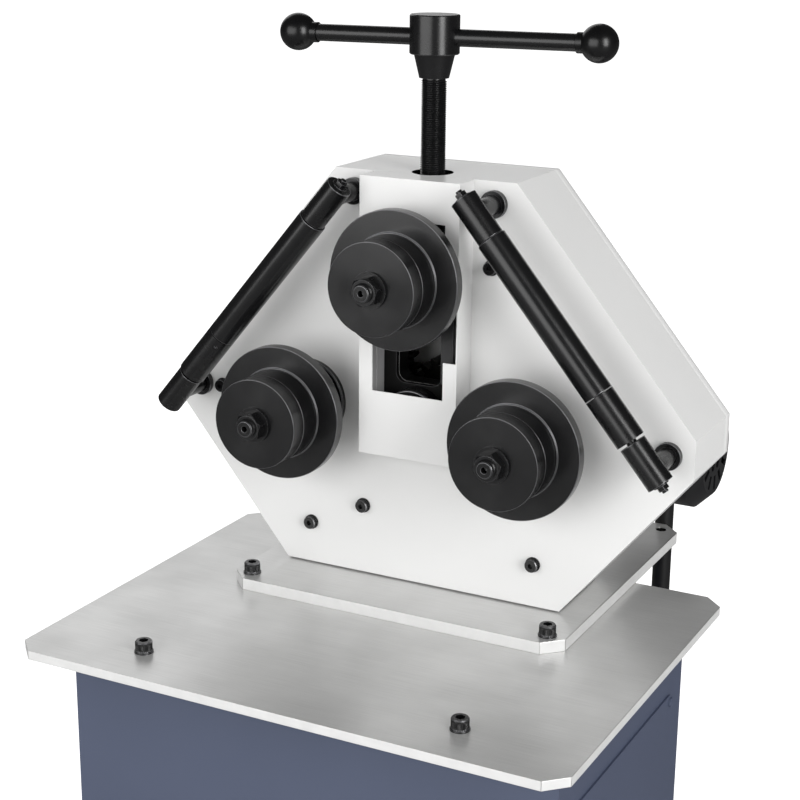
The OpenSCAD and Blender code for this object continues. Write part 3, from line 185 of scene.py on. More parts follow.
# Steel parts with one even finish: small clouds and a faint grain; blacked and oiled ones have no bare metal
def evenSteel(name, light, dark, roughness, metallic):
    cloudSize, grainSize, grainDepth = 14 * mm, 0.5 * mm, 0.004 * mm
    material, tree, shader = newMaterial(name, {"Metallic": metallic} | ({"IOR": 1.56} if metallic < 0.1 else {}))
    place = addNode(tree, "ShaderNodeTexCoord").outputs["Object"]
    clouds = addNode(tree, "ShaderNodeTexNoise", {}, {"Vector": place, "Scale": 1 / cloudSize, "Detail": 4})
    grain = addNode(tree, "ShaderNodeTexNoise", {}, {"Vector": place, "Scale": 1 / grainSize, "Detail": 2})
    coat(tree, shader, clouds, light, dark, (roughness - 0.04, roughness + 0.04), grain, grainDepth, 0.5)
    return material


# Enamel over a casting, moulded polyamide or phenolic: no metal, a soft sheen and a faint texture
def mouldedBlack(name, light, dark, roughness, grain, depth):
    cloudSize = 20 * mm
    material, tree, shader = newMaterial(name, {"IOR": 1.5})
    place = addNode(tree, "ShaderNodeTexCoord").outputs["Object"]
    clouds = addNode(tree, "ShaderNodeTexNoise", {}, {"Vector": place, "Scale": 1 / cloudSize, "Detail": 3})
    skin = addNode(tree, "ShaderNodeTexNoise", {}, {"Vector": place, "Scale": 1 / (grain * mm), "Detail": 2})
    coat(tree, shader, clouds, light, dark, (roughness - 0.05, roughness + 0.05), skin, depth * mm, 0.6)
    return material


finish = {
    # sprayed and baked: the head and its cover, the cabinet, and a lighter blue-grey on the side panels' edge breaks
    # that is a painted highlight where the edge catches light
    "whitePowderCoat": powderCoat("whitePowderCoat", "EAEAE9", "E6E6E5", 0.30),
    "blueGreyPowderCoat": powderCoat("blueGreyPowderCoat", "4F576D", "4B5368", 0.50),
    "edgeHighlightBlueGrey": powderCoat("edgeHighlightBlueGrey", "7E8698", "6E768A", 0.45),
    # bright steel: both plates with their sawn sides, the rail, and edges where the finish has rubbed off
    "beltGroundPlate": groundSteel("beltGroundPlate", "E0E0DF", "D0D0CF", 0.34, "x", 0.35, 0.55),
    "milledSteel": groundSteel("milledSteel", "C8C8C6", "B0B0B2", 0.40, "z", 0.3, 0.45),
    "sawnEdge": evenSteel("sawnEdge", "EAEAE9", "DADAD9", 0.40, 0.15),
    "brightRim": evenSteel("brightRim", "8C8C8E", "6A6A6C", 0.30, 0.9),
    "rubbedEdge": evenSteel("rubbedEdge", "8E8E90", "6A6A6C", 0.34, 0.85),
    "shinyEdge": evenSteel("shinyEdge", "EDEDEB", "D8D8D6", 0.30, 1.0),
    # black oxided and oiled: nearly black with a clear highlight
    "oiledBlackSteel": evenSteel("oiledBlackSteel", "131314", "0C0C0D", 0.27, 0.0),
    "guideSteel": evenSteel("guideSteel", "151516", "0F0F10", 0.24, 0.0),
    "oiledBlackRail": evenSteel("oiledBlackRail", "2A2A2C", "1E1E20", 0.40, 0.0),
    # paintedShadeBlack is dull near-black painted shade for the unlit inside of the head, its hole walls, the window
    # sheet and the spindle nut
    "paintedShadeBlack": evenSteel("paintedShadeBlack", "0A0A0A", "050505", 0.60, 0.0),
    # inside the head: greased gears darkened further as painted shade for the unlit inside, bronze bushes, bright
    # bearing rings
    "gearSteel": evenSteel("gearSteel", "2C2B28", "1E1D1B", 0.42, 0.8),
    "bearingBronze": evenSteel("bearingBronze", "B08A4E", "96733C", 0.36, 1.0),
    "bearingSteel": evenSteel("bearingSteel", "B8B8B8", "9E9E9E", 0.22, 1.0),
    # the drive's enamel, the conduit's polyamide and the balls' polished phenolic
    "blackEnamel": mouldedBlack("blackEnamel", "1C1C1E", "151517", 0.38, 1.2, 0.03),
    "greyCastEnamel": mouldedBlack("greyCastEnamel", "4A4C50", "404246", 0.50, 0.9, 0.12),
    "blackPolyamide": mouldedBlack("blackPolyamide", "19191A", "131314", 0.42, 0.6, 0.02),
    "blackPhenolic": mouldedBlack("blackPhenolic", "0E0E0F", "080809", 0.28, 6.0, 0.008),
}
for name, centre in rollerCentres.items():
    finish[name + "RollerSteel"] = turnedBlack(name + "RollerSteel", "151516", "0E0E0F", 0.21, centre)
shadeTree = finish["paintedShadeBlack"].node_tree
feed(shadeTree, shadeTree.nodes["Principled BSDF"], {"Specular IOR Level": 0.12})  # specular turned down so that this painted shade stays near black
print("stage: materials")


def newPiece(name, mesh, materials):
    piece = bpy.data.objects.new(name, mesh)
    scene.collection.objects.link(piece)
    for material in materials:
        mesh.materials.append(finish[material])
    return piece


# puts a piece on its body, keeping its place, and hides the CAD node that it stands in for
def dress(piece, body, node):
    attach(piece, body)
    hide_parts(node)


def smooth(mesh):
    mesh.shade_smooth()
    mesh.set_sharp_from_angle(angle=radians(34))


edgeBreak = {
    "weldDistance": 0.005 * mm,
    "flatAngle": radians(0.8),  # faces that meet flatter than this become one
    "sharpAngle": radians(28),  # edges sharper than this are broken
    "segments": 2,
}


# a merged copy with its edges broken: the breaks take the second material, and pick() may change any face's
def softCopy(node, name, bevel, materials, pick=None):
    bm = bmesh.new()
    bm.from_mesh(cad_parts[node].data)
    for face in bm.faces:
        face.material_index = 0
    bmesh.ops.remove_doubles(bm, verts=bm.verts, dist=edgeBreak["weldDistance"])
    bmesh.ops.dissolve_limit(bm, angle_limit=edgeBreak["flatAngle"], verts=bm.verts, edges=bm.edges)
    sharp = [e for e in bm.edges if len(e.link_faces) == 2 and e.calc_face_angle(0) > edgeBreak["sharpAngle"]]
    bmesh.ops.bevel(
        bm, geom=sharp, offset=bevel * mm, offset_type="OFFSET", segments=edgeBreak["segments"], profile=0.5,
        affect="EDGES", clamp_overlap=True, material=1 if len(materials) > 1 else -1, loop_slide=True,
    )
    if pick:
        bm.normal_update()
        for face in bm.faces:
            face.material_index = pick(face, face.material_index)
    mesh = bpy.data.meshes.new(name)
    bm.to_mesh(mesh)
    bm.free()
    smooth(mesh)
    piece = newPiece(name, mesh, materials)
    weigh = piece.modifiers.new("weigh", "WEIGHTED_NORMAL")  # keeps flat faces flat beside their edge breaks
    weigh.keep_sharp, weigh.weight = True, 60
    return piece


turning = {
    "arcSteps": 3,
    "mostOfSide": 0.4,  # a break takes no more than this share of a short side
    "collar": 1.8,  # a narrow strip beside each break, in breaks' widths, keeps the shading flat
    "flatFrom": 150,  # corners more open than this, in degrees, stay as they are
    "stepsRound": 128,
}


# the profile with an arc at each corner; each point says if the step after it is a break
def brokenEdges(profile, width, closed):
    points, count, steps = [], len(profile), turning["arcSteps"]
    for i, here in enumerate(profile):
        here = Vector(here)
        if not closed and i in (0, count - 1):
            points.append((here, False))
            continue
        toBefore, toAfter = Vector(profile[i - 1]) - here, Vector(profile[(i + 1) % count]) - here
        cutBack = min(width, toBefore.length * turning["mostOfSide"], toAfter.length * turning["mostOfSide"])
        if here.y < 1e-6 or toBefore.angle(toAfter) > radians(turning["flatFrom"]) or cutBack <= 0:
            points.append((here, False))
            continue
        collars = [min(turning["collar"] * cutBack, side.length * 0.45) for side in (toBefore, toAfter)]
        first, last = here + toBefore.normalized() * cutBack, here + toAfter.normalized() * cutBack
        points.append((here + toBefore.normalized() * collars[0], False))
        for k in range(steps):
            t = k / steps
            points.append(((1 - t) ** 2 * first + 2 * t * (1 - t) * here + t * t * last, True))
        points.append((last, False))
        points.append((here + toAfter.normalized() * collars[1], False))
    return points


# turns a profile of (along, radius) in mm about an axis through origin
def turnProfile(bm, profile, origin, axis, edgeWidth, closed, steps=turning["stepsRound"]):
    axis = Vector(axis).normalized()
    side = axis.orthogonal().normalized()
    other = axis.cross(side)
    spokes = [side * cos(2 * pi * k / steps) + other * sin(2 * pi * k / steps) for k in range(steps)]
    rings = []
    for (along, radius), edgeStep in brokenEdges(profile, edgeWidth, closed):
        centre = Vector(origin) + axis * along * mm
        ring = [bm.verts.new(centre)] if radius < 1e-6 else [bm.verts.new(centre + s * radius * mm) for s in spokes]
        rings.append((ring, edgeStep))
    for i in range(len(rings) if closed else len(rings) - 1):
        (low, edgeStep), (high, _) = rings[i], rings[(i + 1) % len(rings)]
        for k in range(steps):
            n = (k + 1) % steps
            corners = [low[k % len(low)], low[n % len(low)], high[n % len(high)], high[k % len(high)]]
            corners = list(dict.fromkeys(corners))
            if len(corners) > 2:
                bm.faces.new(corners).material_index = int(edgeStep)


# one piece of turned parts, each (profile, origin, axis, edge width, closed)
def turnedPiece(name, parts, materials):
    bm = bmesh.new()
    for part in parts:
        turnProfile(bm, *part)
    bmesh.ops.remove_doubles(bm, verts=bm.verts, dist=0.0005 * mm)
    bmesh.ops.recalc_face_normals(bm, faces=bm.faces)
    mesh = bpy.data.meshes.new(name)
    bm.to_mesh(mesh)
    bm.free()
    smooth(mesh)
    return newPiece(name, mesh, materials)


# Node trees for threads and screws


def newTree(name, inputs):
    tree = bpy.data.node_groups.new(name, "GeometryNodeTree")
    tree.interface.new_socket(name="Geometry", in_out="INPUT", socket_type="NodeSocketGeometry")
    for label, kind in inputs.items():
        tree.interface.new_socket(name=label, in_out="INPUT", socket_type="NodeSocket" + kind)
    tree.interface.new_socket(name="Geometry", in_out="OUTPUT", socket_type="NodeSocketGeometry")
    return tree, addNode(tree, "NodeGroupInput").outputs


# runs a tree on a host of bare points and returns the result as a plain mesh, turned and moved by place
def runTree(name, tree, points, values, place=Matrix()):
    host = bpy.data.meshes.new(name)
    host.from_pydata(points, [], [])
    carrier = bpy.data.objects.new(name, host)
    scene.collection.objects.link(carrier)
    modifier = carrier.modifiers.new("shape", "NODES")
    modifier.node_group = tree
    for item in tree.interface.items_tree:
        if item.item_type == "SOCKET" and item.in_out == "INPUT" and item.name in values:
            modifier[item.identifier] = values[item.name]
    depsgraph = bpy.context.evaluated_depsgraph_get()
    mesh = bpy.data.meshes.new_from_object(carrier.evaluated_get(depsgraph), depsgraph=depsgraph)
    carrier.modifiers.remove(modifier)
    bpy.data.objects.remove(carrier)
    mesh.transform(place)
    smooth(mesh)
    return mesh


# a strip whose rows follow the thread, so that its crests stay sharp; its ends sink into the rod's root
def makeThreadTree():
    tree, given = newTree("screwThread", {
        "Crest Radius": "Float", "Sunk Radius": "Float", "Pitch": "Float", "Length": "Float", "Run Out": "Float",
        "Turns": "Int", "Points Round": "Int", "Rows": "Int", "Surface": "Material",
    })
    size = {"Size X": 1.0, "Size Y": 1.0, "Vertices X": given["Points Round"], "Vertices Y": given["Rows"]}
    grid = addNode(tree, "GeometryNodeMeshGrid", {}, size)
    position = addNode(tree, "GeometryNodeInputPosition")
    here = addNode(tree, "ShaderNodeSeparateXYZ", {}, {0: position}).outputs
    around = addNode(tree, "ShaderNodeMath", {"operation": "ADD"}, {0: here["X"], 1: 0.5})
    along = addNode(tree, "ShaderNodeMath", {"operation": "ADD"}, {0: here["Y"], 1: 0.5})
    turn = addNode(tree, "ShaderNodeMath", {"operation": "MULTIPLY"}, {0: along, 1: given["Turns"]})
    angle = addNode(tree, "ShaderNodeMath", {"operation": "MULTIPLY"}, {0: around, 1: 2 * pi})
    climb = addNode(tree, "ShaderNodeMath", {"operation": "ADD"}, {0: around, 1: turn})
    height = addNode(tree, "ShaderNodeMath", {"operation": "MULTIPLY"}, {0: climb, 1: given["Pitch"]})
    ridge = addNode(tree, "ShaderNodeMath", {"operation": "PINGPONG"}, {0: turn, 1: 0.5})
    crown = addNode(  # flat at the root and at the crest
        tree, "ShaderNodeMapRange", {}, {"Value": ridge, "From Min": 0.05, "From Max": 0.425}
    )
    left = addNode(tree, "ShaderNodeMath", {"operation": "SUBTRACT"}, {0: given["Length"], 1: height})
    nearest = addNode(tree, "ShaderNodeMath", {"operation": "MINIMUM"}, {0: height, 1: left})
    fade = addNode(tree, "ShaderNodeMapRange", {}, {"Value": nearest, "From Max": given["Run Out"]})
    lift = addNode(tree, "ShaderNodeMath", {"operation": "MULTIPLY"}, {0: crown, 1: fade})
    radius = addNode(
        tree, "ShaderNodeMapRange", {},
        {"Value": lift, "To Min": given["Sunk Radius"], "To Max": given["Crest Radius"]},
    )
    spoke = addNode(tree, "ShaderNodeCombineXYZ", {}, {"X": radius, "Z": height})
    place = addNode(tree, "ShaderNodeVectorRotate", {"rotation_type": "Z_AXIS"}, {"Vector": spoke, "Angle": angle})
    moved = addNode(tree, "GeometryNodeSetPosition", {}, {"Geometry": grid, "Position": place})
    merged = addNode(tree, "GeometryNodeMergeByDistance", {}, {"Geometry": moved, "Distance": 0.01 * mm})
    real = addNode(tree, "GeometryNodeRealizeInstances", {}, {"Geometry": merged})
    coated = addNode(tree, "GeometryNodeSetMaterial", {}, {"Geometry": real, "Material": given["Surface"]})
    addNode(tree, "NodeGroupOutput", {}, {"Geometry": coated})
    return tree


# a socket head screw with a knurled side, on each point, its head up from the point and turned at random
def makeScrewTree():
    tree, given = newTree("socketScrew", {
        "Head Radius": "Float", "Head Height": "Float", "Key Radius": "Float", "Key Depth": "Float",
        "Knurls": "Int", "Knurl Depth": "Float", "Rim": "Float", "Shank Radius": "Float", "Shank Length": "Float",
        "With Washer": "Bool", "Washer Radius": "Float", "Washer Height": "Float", "Seed": "Int",
        "Surface": "Material", "Rim Surface": "Material",
    })

    # a round or six-sided solid, from its base up if rise is 0.5 and down if it is -0.5
    def upright(points, rows, radius, depth, rise, base=0.0):
        solid = addNode(tree, "GeometryNodeMeshCylinder", {"fill_type": "NGON"}, {
            "Vertices": points, "Side Segments": rows, "Radius": radius, "Depth": depth,
        })
        middle = addNode(tree, "ShaderNodeMath", {"operation": "MULTIPLY_ADD"}, {0: depth, 1: rise, 2: base})
        shift = addNode(tree, "ShaderNodeCombineXYZ", {}, {"Z": middle})
        return addNode(tree, "GeometryNodeTransform", {}, {"Geometry": solid, "Translation": shift})

    points = addNode(tree, "ShaderNodeMath", {"operation": "MULTIPLY"}, {0: given["Knurls"], 1: 4.0})
    blank = upright(points, 8, given["Head Radius"], given["Head Height"], 0.5)
    position = addNode(tree, "GeometryNodeInputPosition")
    here = addNode(tree, "ShaderNodeSeparateXYZ", {}, {0: position}).outputs
    share = addNode(tree, "ShaderNodeMath", {"operation": "DIVIDE"}, {0: here["Z"], 1: given["Head Height"]})
    onSide = addNode(tree, "ShaderNodeMath", {"operation": "COMPARE"}, {0: share, 1: 0.43, 2: 0.37})
    onTop = addNode(tree, "ShaderNodeMath", {"operation": "GREATER_THAN"}, {0: share, 1: 0.94})
    angle = addNode(tree, "ShaderNodeMath", {"operation": "ARCTAN2"}, {0: here["Y"], 1: here["X"]})
    knurlAngle = addNode(tree, "ShaderNodeMath", {"operation": "MULTIPLY"}, {0: angle, 1: given["Knurls"]})
    wave = addNode(tree, "ShaderNodeMath", {"operation": "COSINE"}, {0: knurlAngle})
    groove = addNode(
        tree, "ShaderNodeMapRange", {}, {"Value": wave, "From Min": -1.0, "To Max": given["Knurl Depth"]}
    )
    knurl = addNode(tree, "ShaderNodeMath", {"operation": "MULTIPLY"}, {0: groove, 1: onSide})
    inwards = addNode(
        tree, "ShaderNodeMath", {"operation": "MULTIPLY_ADD"}, {0: onTop, 1: given["Rim"], 2: knurl}
    )
    shrink = addNode(tree, "ShaderNodeMath", {"operation": "DIVIDE"}, {0: inwards, 1: given["Head Radius"]})
    toAxis = addNode(tree, "ShaderNodeVectorMath", {"operation": "MULTIPLY"}, {0: position, 1: (-1, -1, 0)})
    offset = addNode(tree, "ShaderNodeVectorMath", {"operation": "SCALE"}, {0: toAxis, "Scale": shrink})
    head = addNode(tree, "GeometryNodeSetPosition", {}, {"Geometry": blank, "Offset": offset})
    keyLength = addNode(tree, "ShaderNodeMath", {"operation": "MULTIPLY"}, {0: given["Key Depth"], 1: 2.0})
    key = upright(6, 1, given["Key Radius"], keyLength, 0.0, given["Head Height"])
    socket = addNode(tree, "GeometryNodeMeshBoolean", {"operation": "DIFFERENCE"}, {"Mesh 1": head, "Mesh 2": key})
    normal = addNode(tree, "GeometryNodeInputNormal")
    tilt = addNode(tree, "ShaderNodeSeparateXYZ", {}, {0: normal}).outputs["Z"]
    oblique = addNode(tree, "ShaderNodeMath", {"operation": "COMPARE"}, {0: tilt, 1: 0.575, 2: 0.375})
    marked = addNode(
        tree, "GeometryNodeStoreNamedAttribute", {"data_type": "BOOLEAN", "domain": "FACE"},
        {"Geometry": socket, "Name": "rim", "Value": oblique},
    )
    shank = upright(24, 1, given["Shank Radius"], given["Shank Length"], -0.499)
    washer = upright(56, 1, given["Washer Radius"], given["Washer Height"], -0.5)
    perhaps = addNode(
        tree, "GeometryNodeSwitch", {"input_type": "GEOMETRY"}, {"Switch": given["With Washer"], "True": washer}
    )
    whole = addNode(tree, "GeometryNodeJoinGeometry")
    for part in (marked, shank, perhaps):
        feed(tree, whole, {0: part})
    spin = addNode(tree, "FunctionNodeRandomValue", {"data_type": "FLOAT"}, {2: 0.0, 3: pi / 3, 8: given["Seed"]})
    turn = addNode(tree, "ShaderNodeCombineXYZ", {}, {"Z": spin.outputs[1]})
    placed = addNode(
        tree, "GeometryNodeInstanceOnPoints", {}, {"Points": given["Geometry"], "Instance": whole, "Rotation": turn}
    )
    real = addNode(tree, "GeometryNodeRealizeInstances", {}, {"Geometry": placed})
    body = addNode(tree, "GeometryNodeSetMaterial", {}, {"Geometry": real, "Material": given["Surface"]})
    named = addNode(tree, "GeometryNodeInputNamedAttribute", {"data_type": "BOOLEAN"}, {"Name": "rim"})
    edged = addNode(
        tree, "GeometryNodeSetMaterial", {},
        {"Geometry": body, "Selection": named, "Material": given["Rim Surface"]},
    )
    addNode(tree, "NodeGroupOutput", {}, {"Geometry": edged})
    return tree


threadTree, screwTree = makeThreadTree(), makeScrewTree()
print("stage: node trees")

# Stand, head and drive: merged copies with their edges broken


# the walls inside the head's shell and in the holes through it are bare, and take near-black painted shade for the
# unlit inside
def headFaces(face, index):
    skin, coatReach = 0.6, 1.2
    place = (face.calc_center_median() - machine["driveAxis"]) / mm
    if place.y < skin or place.y > machine["headDepth"] - skin:
        return index
    x, z = abs(place.x), place.z
    upper = (topX + upperSlope * (topZ - z) - x) / hypot(1, upperSlope)
    lower = (footX + lowerSlope * (z - footZ) - x) / hypot(1, lowerSlope)
    return 2 if min(topZ - z, midX - x, z - footZ, upper, lower) > coatReach else index


# a plate's sides are sawn and bright, and the walls of its holes take near-black painted shade
def plateFaces(face, index):
    upFrom, holeReach = 0.3, 7
    if index == 1 or abs(face.normal.z) > upFrom:
        return index
    place = face.calc_center_median() / mm
    holes = [hypot(abs(place.x) - x, place.y - y) for x, y in machine["plateHoles"]]
    return 3 if min(holes) < holeReach else 2


# node, piece, body, edge break in mm, material, edge material
plainCopies = [
    ("cabinet", "cabinetSheet", "frame", 1.2, "blueGreyPowderCoat", None),
    # the side panels' edge breaks take the lighter blue-grey, a painted highlight
    ("side_panels", "sidePanels", "frame", 0.7, "blueGreyPowderCoat", "edgeHighlightBlueGrey"),
    ("panel_screws", "panelScrews", "frame", 0.25, "blueGreyPowderCoat", None),
    ("plate_washers", "plateWashers", "frame", 0.3, "oiledBlackSteel", "rubbedEdge"),
    ("plate_nuts", "plateNuts", "frame", 0.4, "oiledBlackSteel", None),
    ("countersunk_screws", "countersunkScrews", "frame", 0.2, "oiledBlackSteel", None),
    ("front_cover", "frontCover", "frame", 0.5, "whitePowderCoat", None),
    ("left_guide_rail", "leftGuideRail", "frame", 0.4, "milledSteel", "shinyEdge"),
    ("gib_strip", "gibStrip", "frame", 0.4, "oiledBlackRail", "rubbedEdge"),
    # the sheet behind the window and the spindle nut in its hole are near-black painted shade
    ("wear_plate", "wearPlate", "frame", 0.4, "paintedShadeBlack", "oiledBlackRail"),
    ("spindle_nut", "spindleNut", "frame", 0.4, "paintedShadeBlack", None),
    ("ball_bearings", "ballBearings", "frame", 0.3, "bearingSteel", None),
    ("bearing_caps", "bearingCaps", "frame", 0.5, "oiledBlackSteel", "rubbedEdge"),
    ("pinion_bearing_cap", "pinionBearingCap", "frame", 0.5, "oiledBlackSteel", "rubbedEdge"),
    ("guide_arms", "guideArms", "frame", 0.4, "oiledBlackSteel", None),
    ("guide_collars", "guideCollars", "frame", 0.5, "oiledBlackSteel", "rubbedEdge"),
    ("guide_axles", "guideAxles", "frame", 0.4, "oiledBlackSteel", "rubbedEdge"),
    ("set_collars", "setCollars", "frame", 0.4, "oiledBlackSteel", "rubbedEdge"),
    ("grub_screws", "grubScrews", "frame", 0.3, "oiledBlackSteel", "rubbedEdge"),
    ("guide_nuts", "guideNuts", "frame", 0.4, "oiledBlackSteel", "rubbedEdge"),
    ("gearbox_housing", "gearboxHousing", "frame", 1.5, "greyCastEnamel", None),
    ("gearbox_flange", "gearboxFlange", "frame", 1.0, "greyCastEnamel", None),
    ("motor_frame", "motorFrame", "frame", 0.3, "blackEnamel", None),
    ("fan_cowl", "fanCowl", "frame", 0.4, "blackEnamel", None),
    ("terminal_box", "terminalBox", "frame", 1.2, "blackEnamel", None),
    ("cable_conduit", "cableConduit", "frame", 0.3, "blackPolyamide", None),
    ("conduit_glands", "conduitGlands", "frame", 0.6, "blackPolyamide", None),
    ("slide_block", "slideBlock", "slide", 0.6, "oiledBlackSteel", "rubbedEdge"),
    ("thrust_cap", "thrustCap", "slide", 0.4, "oiledBlackSteel", "rubbedEdge"),
    ("shaft_bushes", "shaftBushes", "slide", 0.3, "bearingBronze", None),
    ("handle_hub", "handleHub", "screw", 0.7, "oiledBlackSteel", "rubbedEdge"),
    ("handle_bar", "handleBar", "bar", 0.3, "oiledBlackSteel", None),
    ("top_nut", "topNut", "top_roller", 0.35, "oiledBlackSteel", "rubbedEdge"),
    ("left_nut", "leftNut", "left_roller", 0.35, "oiledBlackSteel", "rubbedEdge"),
    ("right_nut", "rightNut", "right_roller", 0.35, "oiledBlackSteel", "rubbedEdge"),
    ("left_gear", "leftGear", "left_roller", 0.3, "gearSteel", None),
    ("right_gear", "rightGear", "right_roller", 0.3, "gearSteel", None),
    ("pinion_shaft", "pinionShaft", "pinion", 0.3, "gearSteel", None),
]
for node, name, body, bevel, material, edgeMaterial in plainCopies:
    materials = [material] + ([edgeMaterial] if edgeMaterial else [])
    dress(softCopy(node, name, bevel, materials), body, node)
head = softCopy("head_housing", "headHousing", 0.9, ["whitePowderCoat", "whitePowderCoat", "paintedShadeBlack"], headFaces)
dress(head, "frame", "head_housing")
for node, name in (("table_plate", "tablePlate"), ("base_plate", "basePlate")):
    plate = softCopy(node, name, 0.8, ["beltGroundPlate", "shinyEdge", "sawnEdge", "paintedShadeBlack"], plateFaces)
    dress(plate, "frame", node)
print("stage: copies")

# Rollers: a stepped disc stack on a shaft whose end is threaded for the nut

roller = {
    "flangeBack": 51,
    "flangeFront": 62,
    "flangeRadius": 66,
    "landFront": 63.5,
    "landRadius": 44.95,
    "innerFront": 86.7,
    "outerFront": 105,
    "hubRadius": 43.7,
    "shaftRadius": 15,
    "shoulderRadius": 20,
    "tip": 123,
    "tipBreak": (0.8, 0.9),
    "centreHole": (3, 9, 1),  # radius, depth, and how deep its cone is
    "thread": {"crest": 9, "root": 8.1, "pitch": 1.5},
    "edge": 0.6,
    "hubEdge": 0.48,
    "shaftEdge": 0.3,
    "threadRunOut": 1.0,
    "shafts": {"top": (57.6, 20.5), "left": (105, 6.8), "right": (105, 6.8)},  # rear end, shoulder's rear
}
threadDetail = {"pointsRound": 40, "rowsPerTurn": 6, "sunk": 0.1}


# a mesh of the thread on a rod, along the Z of the given matrix, which ends a turn or more before length
def threadMesh(name, thread, length, runOut, place):
    d, turns = threadDetail, ceil(length / thread["pitch"]) - 2
    mesh = runTree(name, threadTree, [(0, 0, 0)], {
        "Crest Radius": thread["crest"] * mm, "Sunk Radius": (thread["root"] - d["sunk"]) * mm,
        "Pitch": thread["pitch"] * mm, "Length": length * mm, "Run Out": runOut * mm, "Turns": turns,
        "Points Round": d["pointsRound"] + 1, "Rows": turns * d["rowsPerTurn"] + 1,
        "Surface": finish["oiledBlackSteel"],
    }, place)
    mesh.materials.clear()  # so that it takes the rod's first material
    return mesh


# adds a tree's mesh to a piece, under the piece's own materials
def addMesh(piece, extra):
    bm = bmesh.new()
    bm.from_mesh(piece.data)
    bm.from_mesh(extra)
    bm.to_mesh(piece.data)
    bm.free()
    smooth(piece.data)


def makeRollers():
    r = roller
    forwards = (0, -1, 0)
    for name, centre in rollerCentres.items():
        body, steel = name + "_roller", name + "RollerSteel"
        bore = r["shaftRadius"]
        flange = [
            (r["flangeBack"], bore), (r["flangeBack"], r["flangeRadius"]), (r["flangeFront"], r["flangeRadius"]),
            (r["flangeFront"], r["landRadius"]), (r["landFront"], r["landRadius"]), (r["landFront"], bore),
        ]
        inner, outer = [
            [(back, bore), (back, r["hubRadius"]), (front, r["hubRadius"]), (front, bore)]
            for back, front in ((r["landFront"], r["innerFront"] - 0.1), (r["innerFront"], r["outerFront"]))
        ]
        piece = turnedPiece(name + "FlangeDisc", [(flange, centre, forwards, r["edge"], True)], [steel, "brightRim"])
        dress(piece, body, name + "_flange")
        discs = [(disc, centre, forwards, r["hubEdge"], True) for disc in (inner, outer)]
        piece = turnedPiece(name + "HubDiscs", discs, [steel, "brightRim"])
        dress(piece, body, name + "_hub_discs")
        tail, shoulderBack = r["shafts"][name]
        tip, root, (breakLength, breakDepth) = r["tip"], r["thread"]["root"], r["tipBreak"]
        holeRadius, holeDepth, coneDepth = r["centreHole"]
        shaft = [
            (-tail, 0), (-tail, bore), (shoulderBack, bore), (shoulderBack, r["shoulderRadius"]),
            (r["flangeBack"], r["shoulderRadius"]), (r["flangeBack"], bore), (r["outerFront"] - 1, bore),
            (r["outerFront"] - 1, root), (tip - breakLength, root), (tip, root - breakDepth), (tip, holeRadius),
            (tip - holeDepth + coneDepth, holeRadius), (tip - holeDepth, 0),
        ]
        shaft = (shaft, centre, forwards, r["shaftEdge"], False)
        piece = turnedPiece(name + "Shaft", [shaft], ["oiledBlackSteel", "rubbedEdge"])
        place = Matrix.Translation(centre - Vector((0, r["outerFront"] * mm, 0))) @ Matrix.Rotation(pi / 2, 4, "X")
        length = tip - r["outerFront"]
        addMesh(piece, threadMesh(name + "Thread", r["thread"], length, r["threadRunOut"], place))
        dress(piece, body, name + "_shaft")


makeRollers()
print("stage: rollers")

# Guides, along the line from each upper end to its lower end

guides = {
    "top": (63.5, 25, 1192.6),
    "direction": (0.641458, 0, -0.767158),
    "length": 308.672,
    "endLength": 44,
    "endRadius": 12.75,
    "axleRadius": 5,
    "blindEnd": 6,
    "tubeRadius": 14,
    "tubeBore": 5.08,
    "tubeGap": 0.4,
    "tubeLengths": {-1: 162, 1: 169},
    "edge": 0.6,
}


def makeGuides():
    g = guides
    ends, whole, end = [], g["length"], g["endLength"]
    radius, bore = g["endRadius"], g["axleRadius"]
    for side, body in ((-1, "left_guide"), (1, "right_guide")):
        x, y, z = g["top"]
        origin = Vector((side * x, y, z)) * mm
        line = (side * g["direction"][0], 0, g["direction"][2])
        low = [(whole - end, bore), (whole - end, radius), (whole, radius), (whole, bore)]
        if side < 0:
            low[3:] = [(whole, 0), (whole - g["blindEnd"], 0), (whole - g["blindEnd"], bore)]
        ends += [
            ([(0, bore), (0, radius), (end, radius), (end, bore)], origin, line, g["edge"], True),
            (low, origin, line, g["edge"], True),
        ]
        first, last = end + g["tubeGap"], end + g["tubeLengths"][side] - g["tubeGap"]
        inner, outer = g["tubeBore"], g["tubeRadius"]
        tube = [(first, inner), (first, outer), (last, outer), (last, inner)]
        piece = turnedPiece(body + "Roller", [(tube, origin, line, g["edge"], True)], ["guideSteel", "rubbedEdge"])
        dress(piece, body, body + "_roller")
    piece = turnedPiece("guideEndPieces", ends, ["oiledBlackSteel", "rubbedEdge"])
    dress(piece, "frame", "guide_end_pieces")


makeGuides()
print("stage: guides")

# Pressure screw and handle balls

spindle = {
    "axis": (0, 91.25),
    "collar": (1145.8, 1151.8, 17),  # its lower and upper face, and its radius
    "plainFrom": 1290,
    "top": 1314.4,
    "thread": {"crest": 12, "root": 10.75, "pitch": 2},
    "threadFrom": 1153,
    "threadRunOut": 3.0,
    "edge": 0.4,
}
handle = {
    "centre": (0, 91.25, 1326.9),
    "turn": 6.84,
    "shift": 9.5,
    "halfSpan": 146.15,
    "ballRadius": 17.5,
    "neckRadius": 9.5,
    "neckLength": 3,
    "boreRadius": 8.05,
    "neckAngle": 33,  # where the ball goes over into its neck, in degrees from the bar
    "arcSteps": 26,
    "stepsRound": 64,
    "edge": 0.5,
}


